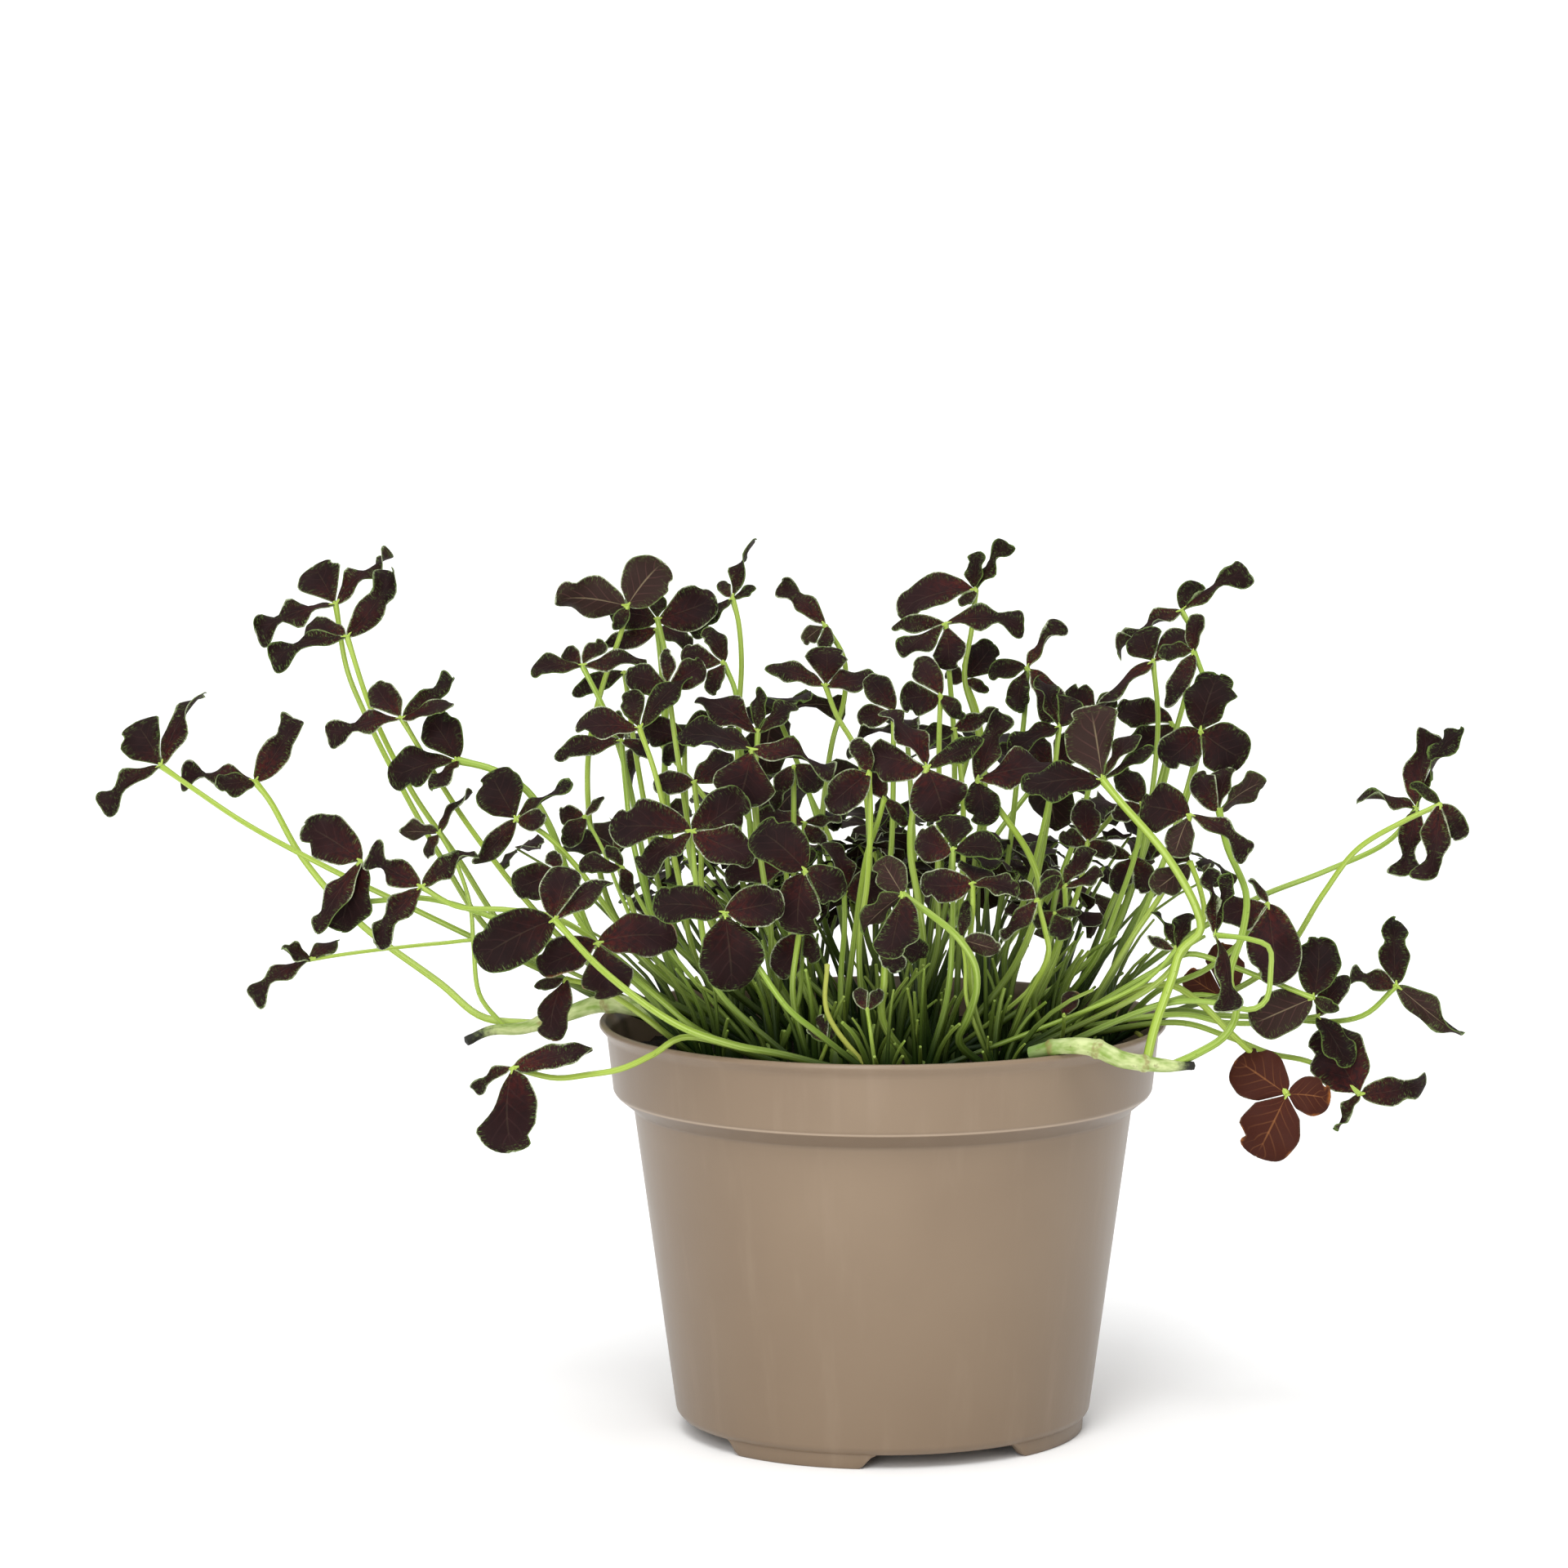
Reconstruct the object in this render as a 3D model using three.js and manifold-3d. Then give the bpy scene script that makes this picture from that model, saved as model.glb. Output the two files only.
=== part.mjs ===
// A potted white clover: a plastic grower's pot, its soil, two creeping stems and a tuft of dark leaves.
// Millimetres, +Z up, front towards -Y. The model stands on z = 0 under the middle of its own box.
import * as THREE from "three";
import { mergeVertices } from "three/addons/utils/BufferGeometryUtils.js";
import Module from "manifold-3d";

const wasm = await Module();
wasm.setup();

// Driving dimensions, in millimetres
const LIP_RADIUS = 60;
const POT_HEIGHT = 87.5;
const LIP_HEIGHT = 1.3;
const BAND_TOP_RADIUS = 58.3;
const BAND_BOTTOM_RADIUS = 57.0;
const BAND_HEIGHT = 15.3;
const SHELF_DROP = 3.1;
const BODY_TOP_RADIUS = 52.7;
const BODY_BOTTOM_RADIUS = 43.9;
const WALL = 1.1;
const FLOOR_THICKNESS = 1.8;
const BASE_BEVEL = 1.2;
const BAND_BEVEL = 0.8;
const LIP_FLARE = 1.4;
const LIP_BEVEL = 0.3;
const INNER_SHELF = 1.5;
const POT_SIDES = 36;
const FOOT_HEIGHT = 3;
const FOOT_OUTER_RADIUS = 42.6;
const FOOT_WIDTH = 2.4;
const FOOT_ARC = 48;
const FOOT_RAMP = 5;
const FOOT_LIFT = 0.2;
const FOOT_SINK = 0.3;
const FIRST_FOOT = -26;
const FOOT_COUNT = 4;
const DRAIN_RADIUS = 4.5;
const DRAIN_CIRCLE = 27;
const DRAIN_COUNT = 4;
const DRAIN_SIDES = 8;

const SOIL_GAP = 0.35;
const SOIL_TOP = 79.4;
const SOIL_SIDES = 20;
const SOIL_LUMP = 0.7;
const SOIL_LUMP_MEAN = 0.6;
const SOIL_WAVES = [0.31, 0.27, 0.19];
const SOIL_PHASES = [0.9, -0.4];
const SOIL_EDGE_DROP = 0.6;
const SOIL_RINGS = [0.8, 0.52, 0.25];
const STUB_RADIUS = 2.3;
const STUB_BOTTOM = 69;
const STUB_TOP = 83;
const STUB_SIDES = 5;
const HOLE_GAP = 0.35;
const HOLE_RISE = 3;
const CROWN_COUNT = 37;
const CROWN_SPREAD = 47.5;
const CROWN_TURN = 137.5;
const FIRST_CROWN = 0.3;
const LEAVES_PER_CROWN = 4;
const ROOT_ASIDE = 1.2;
const ROOT_DEPTH = 0.7;

const BLADE_THICKNESS = 0.68;
const STALK_WIDTH = 1.7;
const STALK_STEPS = 5;
const STALK_SWELL = 1.1;
const STALK_TAPER = 0.2;
const BLADE_CLEARANCE = 0.45;
const LEAST_SHARE = 0.2;
const BLADE_SINK = 0.4;
const HUB_LEAN = 4;
const HUB_SHARE = 0.55;
const HUB_LEAST = 0.4;
const HUB_MOST = 2.6;
const HUB_EASE = 0.25;

// The plant is laid out as it is seen from the front: columns and rows of a square view
const VIEW_DISTANCE = 1334;
const VIEW_HEIGHT = 301;
const VIEW_TILT = 0.122;
const VIEW_FOCAL = 7820;
const AXIS_COLUMN = 1081;
const CENTRE_ROW = 960;

// Outlines of a leaflet: its half width at a share t of its length is t^base (1 - t)^tip, scaled so that
// its width is ratio times its length, and pinched by the waist. arch: how high its middle rises, as a
// share of its length; twist: how far its tip is turned, in degrees
const OUTLINES = {
  round: { ratio: 0.84, base: 0.58, tip: 0.38, waist: 0, arch: 0.07, twist: 0 },
  oval: { ratio: 0.62, base: 0.62, tip: 0.42, waist: 0, arch: 0.07, twist: 8 },
  lance: { ratio: 0.36, base: 0.7, tip: 0.55, waist: 0, arch: 0.06, twist: 18 },
  waist: { ratio: 0.44, base: 0.56, tip: 0.18, waist: 0.52, arch: 0.08, twist: 42 },
};
const WAIST_PLACE = 0.66;
const WAIST_REACH = 0.15;
const TWIST_START = 0.3;
const LARGE_STATIONS = [0.24, 0.6, 0.9];
const WAIST_STATIONS = [0.3, 0.66, 0.92];
const SMALL_STATIONS = [0.35, 0.8];
const SMALL_BLADE = 9;

// Places tried in turn, in millimetres further back, until a leaf crosses no other plant
const DEPTH_STEPS = [0, 3, -3, 6, -6, 9, -9, 12, -12, 15, -15, 18, -18, 22, -22];
const CROWN_CHOICES = 3;
const LEAF_TILT = 0.45;
const CROSSING_ALLOWED = 0.002;
const WELD = 1e-4;

// Creeping stems, from the soil outwards: column, row, millimetres behind the pot's axis, width
const STOLONS = {
  stolon_left: [
    [846, 1262, -22, 3.4],
    [800, 1240, -14, 3.8],
    [737, 1229, -3, 4.4],
    [690, 1243, 0, 4.2],
    [640, 1259, -3, 3.4],
    [600, 1262, -6, 2.8],
    [571, 1275, -8, 2.0],
  ],
  stolon_right: [
    [1262, 1290, -44, 3.2],
    [1300, 1281, -47, 3.6],
    [1339, 1283, -50, 4.0],
    [1373, 1297, -51, 4.2],
    [1402, 1302, -50, 3.8],
    [1430, 1305, -49, 3.2],
    [1462, 1305, -48, 1.6],
  ],
};
const STOLON_SIDES = 5;
const STOLON_STEPS = 12;

// Leaves seen from the front. at: where the leaflets join; back: how far behind the pot's axis that is;
// root: where the stalk leaves the soil (x, y), or its creeping stem and the share of that stem's length;
// stem: points that the stalk passes, from the joint down; blades: tip column and row, seen width,
// outline, and how much of its length the leaflet leans back (negative forward), "under" if its
// underside shows; wide: the stalk's width in millimetres; far: it stands further back and is plainer.
const LEAVES = [
  { at: [679, 1126], back: -58, root: [-8, -47], wide: 2.1,
    stem: [[740, 1190], [830, 1255], [900, 1280], [960, 1292]],
    blades: [[584, 1176, 68, "oval", 0], [696, 1062, 54, "oval", 0.1], [748, 1077, 26, "lance", 0]] },
  { at: [628, 1308], back: -64, root: [-18, -38], wide: 1.8,
    stem: [[680, 1320], [720, 1316], [760, 1309], [800, 1291], [838, 1270]],
    blades: [[628, 1411, 66, "round", 0], [726, 1290, 40, "waist", 0], [580, 1337, 20, "waist", 0.2]] },
  { at: [732, 1155], back: -56, root: [-28, -38],
    stem: [[770, 1190], [810, 1225], [850, 1258]],
    blades: [[829, 1146, 52, "oval", 0], [659, 1188, 44, "oval", 0], [748, 1222, 66, "round", -0.2]] },
  { at: [693, 1199], back: -50, root: [-45, -20],
    stem: [[730, 1208], [765, 1228]],
    blades: [[674, 1273, 38, "oval", 0], [655, 1208, 15, "lance", 0.2]] },
  { at: [887, 1118], back: -58, root: [0, -46],
    stem: [[905, 1150], [930, 1186], [965, 1235], [1000, 1264]],
    blades: [[799, 1110, 46, "oval", 0], [960, 1104, 52, "oval", 0], [897, 1213, 76, "round", -0.1]] },
  { at: [986, 1066], back: -50, root: [-16, -44],
    stem: [[984, 1110], [976, 1160], [971, 1220]],
    blades: [[926, 1014, 62, "round", 0], [1034, 1094, 48, "oval", 0], [977, 1144, 60, "round", -0.1]] },
  { at: [1105, 1095], back: -62, root: [17, -44], wide: 2.1,
    stem: [[1140, 1120], [1172, 1147], [1193, 1180], [1196, 1210], [1186, 1245], [1174, 1275]],
    blades: [[1078, 1051, 40, "oval", 0.2, "under"], [1088, 1173, 58, "oval", 0],
      [1052, 1138, 26, "oval", 0, "under"]] },
  { at: [847, 1018], back: -40, root: [-22, -36],
    stem: [[851, 1070], [860, 1140], [874, 1205]],
    blades: [[746, 1014, 58, "oval", 0], [912, 974, 58, "oval", 0], [924, 1054, 50, "oval", 0],
      [781, 1062, 34, "oval", 0]] },
  { at: [1167, 1040], back: -46, root: [10, -34],
    stem: [[1167, 1090], [1166, 1150], [1160, 1220]],
    blades: [[1122, 1026, 46, "oval", 0], [1168, 998, 50, "round", 0.3], [1228, 1043, 32, "oval", 0]] },
  { at: [1191, 1082], back: -50, root: [24, -40],
    stem: [[1191, 1115], [1187, 1165], [1192, 1230]],
    blades: [[1127, 1082, 42, "oval", 0], [1248, 1092, 22, "oval", 0], [1197, 1063, 46, "oval", 0.9]] },
  { at: [1270, 1102], back: -42, root: [30, -30],
    stem: [[1280, 1140], [1284, 1168], [1256, 1226], [1241, 1262]],
    blades: [[1240, 1082, 24, "oval", 0.4], [1298, 1073, 18, "lance", 0.2],
      [1226, 1149, 22, "lance", 0]] },
  { at: [1304, 1086], back: -34, root: [34, -24],
    stem: [[1304, 1120], [1290, 1170], [1266, 1225]],
    blades: [[1341, 1042, 24, "oval", 0], [1351, 1070, 24, "oval", 0], [1276, 1072, 26, "oval", 0.5]] },
  { at: [1178, 1150], back: -52, root: [22, -42], wide: 1.2,
    stem: [[1182, 1180], [1184, 1225]],
    blades: [[1225, 1162, 28, "oval", 0, "under"], [1184, 1102, 16, "lance", 0]] },
  { at: [1303, 1243], back: -42, root: [38, -28], wide: 1.2,
    stem: [[1302, 1262]],
    blades: [[1316, 1214, 22, "round", 0]] },
  { at: [1014, 1276], back: -50, root: [-10, -45], wide: 1.2,
    stem: [],
    blades: [[1004, 1243, 22, "oval", 0], [1024, 1254, 12, "lance", 0], [988, 1260, 12, "lance", 0.2]] },
  { at: [1013, 1181], back: -50, root: [-13, -46], wide: 1.5,
    stem: [[1013, 1240]],
    blades: [] },
  { at: [1084, 1150], back: -46, root: [2, -40], wide: 2.2,
    stem: [[1083, 1200], [1081, 1250]],
    blades: [[1136, 1168, 36, "oval", 0], [1100, 1190, 34, "oval", 0]] },
  { at: [1135, 940], back: -34, root: [8, -28], wide: 2.0,
    stem: [[1117, 1000], [1115, 1045], [1124, 1100], [1131, 1160], [1128, 1215]],
    blades: [[1064, 924, 58, "oval", 0], [1082, 870, 30, "oval", 0.3], [1204, 904, 26, "lance", 0],
      [1156, 1003, 72, "round", -0.1]] },
  { at: [1083, 978], back: -32, root: [-2, -20],
    stem: [[1074, 1010], [1062, 1045], [1054, 1090], [1046, 1150], [1040, 1200]],
    blades: [[1110, 1012, 20, "lance", 0.2], [1060, 940, 30, "oval", 0.5]] },
  { at: [920, 918], back: -26, root: [-8, -24],
    stem: [[922, 970], [930, 1040], [943, 1130], [950, 1200]],
    blades: [[829, 901, 30, "oval", 0], [1023, 940, 36, "waist", 0], [902, 986, 76, "round", -0.2]] },
  { at: [1152, 852], back: -10, root: [6, -8],
    stem: [[1150, 900], [1150, 990], [1148, 1080], [1146, 1170]],
    blades: [[1102, 858, 46, "oval", 0], [1126, 804, 36, "oval", 0.2], [1180, 880, 22, "lance", 0]] },
  { at: [928, 897], back: -2, root: [-5, -4],
    stem: [[925, 960], [930, 1050], [940, 1140]],
    blades: [[931, 842, 20, "lance", 0], [975, 863, 28, "oval", 0], [856, 850, 34, "oval", 0]] },
  { at: [516, 1086], back: -44, root: [-34, -28],
    stem: [[560, 1110], [620, 1114], [680, 1124], [745, 1165], [800, 1215]],
    blades: [[450, 1046, 44, "waist", 0], [583, 1046, 32, "waist", 0], [458, 1156, 36, "waist", 0]] },
  { at: [443, 1055], back: -38, root: [-40, -22],
    stem: [[423, 1078], [420, 1094], [440, 1103], [520, 1100], [600, 1122], [700, 1165], [765, 1210]],
    blades: [[372, 1010, 58, "oval", 0], [419, 1141, 64, "round", -0.1], [387, 1142, 24, "lance", 0]] },
  { at: [380, 1175], back: -22, root: [-47, -10], wide: 1.2,
    stem: [[440, 1166], [540, 1155], [600, 1152], [680, 1182], [745, 1212]],
    blades: [[413, 1150, 20, "oval", 0.6], [346, 1163, 18, "oval", -0.6], [309, 1225, 22, "waist", 0]] },
  { at: [197, 938], back: -14, root: [-42, -8],
    stem: [[240, 968], [300, 1008], [400, 1062], [500, 1110], [600, 1158], [700, 1204], [760, 1225]],
    blades: [[165, 884, 68, "round", 0.2], [124, 990, 26, "waist", 0], [243, 846, 36, "waist", 0]] },
  { at: [312, 957], back: 4, root: ["stolon_left", 0.72], wide: 2.0,
    stem: [[330, 980], [370, 1050], [440, 1130], [540, 1205], [590, 1245]],
    blades: [[221, 950, 22, "waist", 0], [263, 962, 28, "oval", -0.5], [361, 879, 48, "waist", 0]] },
  { at: [538, 1020], back: -8, root: ["stolon_left", 0.84], wide: 1.3,
    stem: [[560, 1060], [576, 1110], [580, 1160], [588, 1220]],
    blades: [[489, 1018, 22, "oval", 0, "under"], [576, 968, 16, "waist", 0],
      [522, 1050, 16, "oval", 0.3]] },
  { at: [411, 740], back: 22, root: [-38, 14],
    stem: [[425, 820], [445, 870], [475, 932], [540, 1050], [600, 1140], [690, 1200]],
    blades: [[384, 693, 64, "round", 0.3], [314, 778, 24, "waist", 0], [480, 679, 30, "waist", 0]] },
  { at: [425, 780], back: 8, root: [-45, 4],
    stem: [[455, 870], [505, 970], [560, 1050], [620, 1140], [700, 1205]],
    blades: [[331, 810, 28, "waist", 0], [377, 769, 30, "oval", 0.6], [483, 703, 46, "waist", 0]] },
  { at: [492, 880], back: -6, root: [-35, -4],
    stem: [[540, 960], [580, 1020], [655, 1115], [740, 1195]],
    blades: [[401, 905, 26, "waist", 0], [460, 838, 40, "oval", 0.4], [554, 829, 36, "waist", 0],
      [556, 868, 26, "oval", -0.3]] },
  { at: [560, 931], back: -12, root: [-33, -14], wide: 2.3,
    stem: [[605, 943], [645, 968], [672, 1010], [697, 1075], [740, 1170]],
    blades: [[524, 876, 52, "oval", 0.2], [476, 954, 48, "oval", 0], [530, 966, 20, "oval", -0.6]] },
  { at: [632, 1003], back: -22, root: [-29, -10],
    stem: [[665, 1020], [705, 1060], [745, 1115], [790, 1175]],
    blades: [[600, 945, 62, "round", 0.2], [584, 1059, 28, "lance", 0], [701, 959, 16, "lance", 0],
      [668, 1002, 30, "oval", -0.3]] },
  { at: [716, 1000], back: -8, root: [-24, -8], wide: 1.2,
    stem: [[738, 1040], [762, 1100], [795, 1165]],
    blades: [[692, 1037, 28, "oval", -0.4], [684, 995, 26, "oval", 0.4], [738, 974, 12, "lance", 0]] },
  { at: [762, 1062], back: -30, root: [-22, -26], wide: 1.3,
    stem: [[790, 1115], [825, 1170]],
    blades: [[709, 1056, 26, "oval", 0], [770, 1097, 20, "oval", -0.4], [742, 1036, 18, "lance", 0.2]] },
  { at: [768, 742], back: 10, root: [-22, 4],
    stem: [[762, 770], [738, 840], [722, 910], [720, 980], [730, 1050], [765, 1140]],
    blades: [[681, 729, 52, "oval", 0, "under"], [812, 688, 62, "round", 0.1, "under"],
      [752, 770, 20, "lance", 0]] },
  { at: [805, 758], back: 22, root: [-16, 14],
    stem: [[816, 810], [815, 900], [813, 980], [820, 1080], [835, 1160]],
    blades: [[747, 750, 42, "oval", 0], [877, 734, 56, "oval", 0], [808, 725, 22, "oval", 0.4]] },
  { at: [713, 815], back: 0, root: [-20, -4],
    stem: [[745, 880], [768, 950], [786, 1040], [805, 1130]],
    blades: [[650, 822, 26, "oval", 0], [690, 798, 30, "oval", 0.6], [739, 786, 26, "oval", 0.3],
      [791, 805, 22, "lance", 0]] },
  { at: [805, 770], back: 34, root: [-12, 22],
    stem: [[812, 850], [815, 950], [826, 1060], [848, 1150]],
    blades: [[739, 788, 26, "lance", 0], [848, 790, 24, "oval", 0]] },
  { at: [765, 823], back: 18, root: [-28, 18], far: true,
    stem: [[775, 900], [792, 1000], [815, 1110]],
    blades: [[702, 851, 24, "lance", 0], [795, 852, 22, "oval", 0]] },
  { at: [818, 838], back: -8, root: [-14, -8],
    stem: [[826, 900], [838, 980], [853, 1080], [872, 1180]],
    blades: [[766, 826, 38, "oval", 0], [862, 812, 38, "oval", 0], [815, 794, 20, "lance", 0.2]] },
  { at: [783, 892], back: -16, root: [-20, -18],
    stem: [[800, 940], [813, 990], [832, 1080], [855, 1180]],
    blades: [[843, 824, 30, "lance", 0], [705, 895, 34, "oval", 0], [770, 846, 34, "oval", 0]] },
  { at: [761, 907], back: -4, root: [-28, -12], far: true,
    stem: [[766, 960], [773, 1020], [795, 1110], [820, 1185]],
    blades: [[679, 928, 24, "lance", 0], [796, 926, 18, "oval", 0], [758, 870, 18, "lance", 0.2]] },
  { at: [897, 733], back: 26, root: [-8, 22],
    stem: [[904, 760], [908, 810], [905, 870], [903, 940], [906, 1030], [918, 1110]],
    blades: [[927, 663, 24, "waist", 0], [925, 719, 18, "oval", 0.2], [847, 776, 22, "waist", 0],
      [882, 711, 18, "oval", 0.5]] },
  { at: [1010, 766], back: 34, root: [-2, 30],
    stem: [[1033, 805], [1034, 855], [1020, 905], [1010, 970], [1004, 1050], [1010, 1130]],
    blades: [[957, 713, 32, "waist", 0], [984, 786, 24, "oval", -0.4, "under"],
      [1011, 799, 24, "oval", -0.5]] },
  { at: [1011, 840], back: 16, root: [4, 16],
    stem: [[1024, 875], [1047, 915], [1060, 970], [1065, 1060], [1060, 1140]],
    blades: [[1012, 792, 58, "round", 0.2], [937, 820, 24, "lance", 0], [1074, 832, 28, "oval", 0]] },
  { at: [886, 812], back: 8, root: [-12, 8],
    stem: [[900, 845], [906, 905], [916, 990], [930, 1080]],
    blades: [[834, 800, 32, "oval", 0], [864, 769, 26, "oval", 0.3], [870, 850, 22, "oval", -0.3]] },
  { at: [1195, 722], back: 20, root: [14, 18],
    stem: [[1190, 770], [1181, 830], [1194, 880], [1205, 960], [1196, 1040], [1182, 1130]],
    blades: [[1098, 745, 52, "oval", 0], [1197, 675, 22, "oval", 0.2], [1233, 665, 22, "waist", 0],
      [1176, 741, 20, "oval", -0.5]] },
  { at: [1158, 764], back: 4, root: [10, 4],
    stem: [[1162, 820], [1168, 900], [1168, 1000], [1160, 1100]],
    blades: [[1092, 768, 24, "lance", 0], [1104, 806, 40, "oval", 0], [1254, 765, 28, "waist", 0],
      [1162, 820, 44, "oval", -0.2]] },
  { at: [1258, 818], back: 12, root: [24, 12],
    stem: [[1255, 870], [1246, 950], [1236, 1040], [1222, 1130]],
    blades: [[1301, 763, 20, "waist", 0], [1211, 830, 26, "oval", 0], [1290, 882, 34, "oval", 0],
      [1245, 871, 34, "oval", 0]] },
  { at: [1297, 890], back: -2, root: [24, -6],
    stem: [[1290, 950], [1276, 1020], [1255, 1100], [1230, 1175]],
    blades: [[1234, 926, 28, "oval", 0], [1271, 829, 26, "oval", 0], [1304, 852, 46, "round", 0]] },
  { at: [1350, 955], back: -32, root: ["stolon_right", 0.72], wide: 2.4,
    stem: [[1372, 982], [1430, 1050], [1466, 1115], [1470, 1140], [1446, 1164], [1436, 1195], [1414, 1258]],
    blades: [[1336, 866, 80, "round", 0, "under"], [1251, 968, 42, "oval", 0],
      [1394, 899, 24, "oval", 0], [1413, 914, 20, "lance", 0]] },
  { at: [1447, 748], back: 22, root: [36, 14],
    stem: [[1462, 780], [1452, 850], [1440, 895], [1425, 960], [1402, 1040], [1368, 1130]],
    blades: [[1365, 794, 26, "waist", 0], [1470, 715, 36, "oval", 0], [1529, 700, 30, "waist", 0]] },
  { at: [1412, 810], back: 12, root: [34, 2],
    stem: [[1418, 880], [1411, 970], [1395, 1060], [1362, 1150]],
    blades: [[1344, 881, 26, "waist", 0], [1398, 770, 50, "round", 0.3], [1458, 774, 30, "oval", 0.3]] },
  { at: [1462, 798], back: 4, root: [40, -2],
    stem: [[1476, 840], [1470, 910], [1449, 990], [1412, 1085], [1368, 1170]],
    blades: [[1419, 805, 24, "oval", 0], [1425, 863, 28, "lance", 0], [1468, 752, 22, "oval", 0.2]] },
  { at: [1470, 895], back: -12, root: [41, -12],
    stem: [[1458, 950], [1440, 1010], [1412, 1090], [1375, 1170]],
    blades: [[1491, 824, 58, "round", 0], [1525, 931, 64, "round", 0], [1424, 934, 52, "oval", 0]] },
  { at: [1493, 993], back: -24, root: ["stolon_right", 0.86], wide: 2.1,
    stem: [[1502, 1035], [1526, 1095], [1522, 1140], [1506, 1195], [1514, 1240], [1500, 1268], [1466, 1290]],
    blades: [[1464, 947, 40, "oval", 0.2], [1549, 954, 30, "oval", 0, "under"],
      [1507, 941, 24, "oval", 0]] },
  { at: [1457, 998], back: -36, root: [36, -22],
    stem: [[1448, 1035], [1425, 1090], [1385, 1150]],
    blades: [[1397, 986, 62, "oval", 0], [1529, 1046, 24, "waist", 0],
      [1438, 1051, 36, "oval", 0, "under"]] },
  { at: [1398, 985], back: -18, root: [32, -12],
    stem: [[1393, 1035], [1368, 1110], [1338, 1180]],
    blades: [[1371, 943, 36, "oval", 0], [1362, 1002, 26, "oval", 0]] },
  { at: [1332, 1032], back: -22, root: [28, -16], far: true,
    stem: [[1322, 1085], [1303, 1140], [1284, 1195]],
    blades: [[1328, 980, 38, "oval", 0], [1297, 1024, 24, "oval", 0], [1366, 1044, 24, "oval", 0]] },
  { at: [1457, 1055], back: -40, root: [42, -26],
    stem: [[1470, 1090], [1474, 1125], [1450, 1165], [1415, 1205]],
    blades: [[1411, 1092, 40, "oval", 0, "under"], [1436, 1050, 26, "oval", 0.3]] },
  { at: [1764, 985], back: -8, root: [45, -2],
    stem: [[1720, 1005], [1662, 1040], [1620, 1095], [1570, 1172], [1510, 1213], [1440, 1238]],
    blades: [[1753, 1080, 50, "waist", 0], [1793, 1026, 36, "oval", -0.3],
      [1728, 958, 16, "lance", 0.3]] },
  { at: [1735, 990], back: 8, root: [40, 6],
    stem: [[1700, 1030], [1622, 1067], [1545, 1097], [1465, 1140], [1400, 1185]],
    blades: [[1748, 896, 58, "waist", 0], [1720, 1075, 42, "waist", 0], [1662, 978, 22, "waist", 0],
      [1786, 896, 16, "waist", 0]] },
  { at: [1710, 1207], back: -20, root: [46, -14],
    stem: [[1672, 1242], [1630, 1251], [1560, 1246], [1490, 1243], [1432, 1238]],
    blades: [[1708, 1127, 50, "waist", 0], [1653, 1195, 34, "waist", 0],
      [1786, 1271, 42, "waist", 0, "under"]] },
  { at: [1553, 1107], back: -26, root: [44, -18],
    stem: [[1538, 1125], [1520, 1152], [1475, 1188], [1415, 1215]],
    blades: [[1568, 1208, 66, "oval", 0], [1492, 1126, 48, "round", 0], [1529, 1078, 12, "lance", 0]] },
  { at: [1608, 1222], back: -32, root: [43, -30],
    stem: [[1560, 1203], [1505, 1182], [1455, 1168], [1412, 1190]],
    blades: [[1614, 1148, 54, "oval", 0], [1531, 1256, 56, "oval", 0, "under"],
      [1640, 1236, 18, "lance", 0]] },
  { at: [1488, 1145], back: -50, root: [42, -34],
    stem: [[1530, 1150], [1554, 1160], [1556, 1190], [1550, 1225], [1532, 1236], [1490, 1228], [1432, 1228]],
    blades: [[1479, 1061, 32, "waist", 0], [1506, 1069, 20, "lance", 0], [1501, 1241, 20, "waist", 0]] },
  { at: [1440, 1162], back: -46, root: [38, -36], wide: 1.3,
    stem: [[1418, 1188], [1385, 1212]],
    blades: [[1412, 1117, 18, "waist", 0], [1455, 1117, 22, "oval", 0], [1405, 1147, 14, "lance", 0]] },
  { at: [1576, 1340], back: -42, root: [45, -26], wide: 2.0,
    stem: [[1558, 1315], [1505, 1263], [1462, 1222], [1425, 1205]],
    blades: [[1514, 1296, 66, "round", 0], [1629, 1346, 48, "round", 0],
      [1538, 1416, 74, "round", -0.1]] },
  { at: [1665, 1340], back: -26, root: [47, -20],
    stem: [[1640, 1318], [1600, 1299], [1556, 1290], [1500, 1268], [1442, 1252]],
    blades: [[1618, 1262, 74, "oval", 0], [1747, 1326, 46, "waist", 0], [1634, 1382, 20, "waist", 0]] },
  { at: [1613, 1245], back: -36, root: [48, -24],
    stem: [[1560, 1252], [1500, 1252], [1445, 1242]],
    blades: [[1652, 1305, 32, "oval", 0], [1651, 1195, 30, "lance", 0]] },
  { at: [1500, 1222], back: 8, root: [45, 8],
    stem: [[1465, 1218], [1425, 1228]],
    blades: [[1500, 1156, 50, "oval", 0], [1452, 1192, 42, "oval", 0]] },
  { at: [1064, 946], back: -30, root: [-3, -24], far: true,
    stem: [[1066, 1000], [1062, 1080], [1052, 1160]],
    blades: [[1012, 990, 46, "oval", 0], [1046, 905, 26, "oval", 0.2]] },
  { at: [1196, 956], back: -30, root: [20, -26], wide: 2.0, far: true,
    stem: [[1230, 1000], [1262, 1050], [1274, 1095], [1262, 1140], [1238, 1190]],
    blades: [[1222, 872, 44, "waist", 0], [1297, 940, 40, "oval", 0], [1206, 1010, 44, "oval", 0]] },
  { at: [1168, 893], back: -6, root: [12, -4], far: true,
    stem: [[1176, 940], [1180, 1020], [1176, 1120]],
    blades: [[1222, 873, 30, "waist", 0], [1120, 912, 26, "oval", 0]] },
  { at: [1181, 832], back: 30, root: [14, 22], far: true,
    stem: [[1196, 870], [1206, 950], [1200, 1050]],
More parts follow.
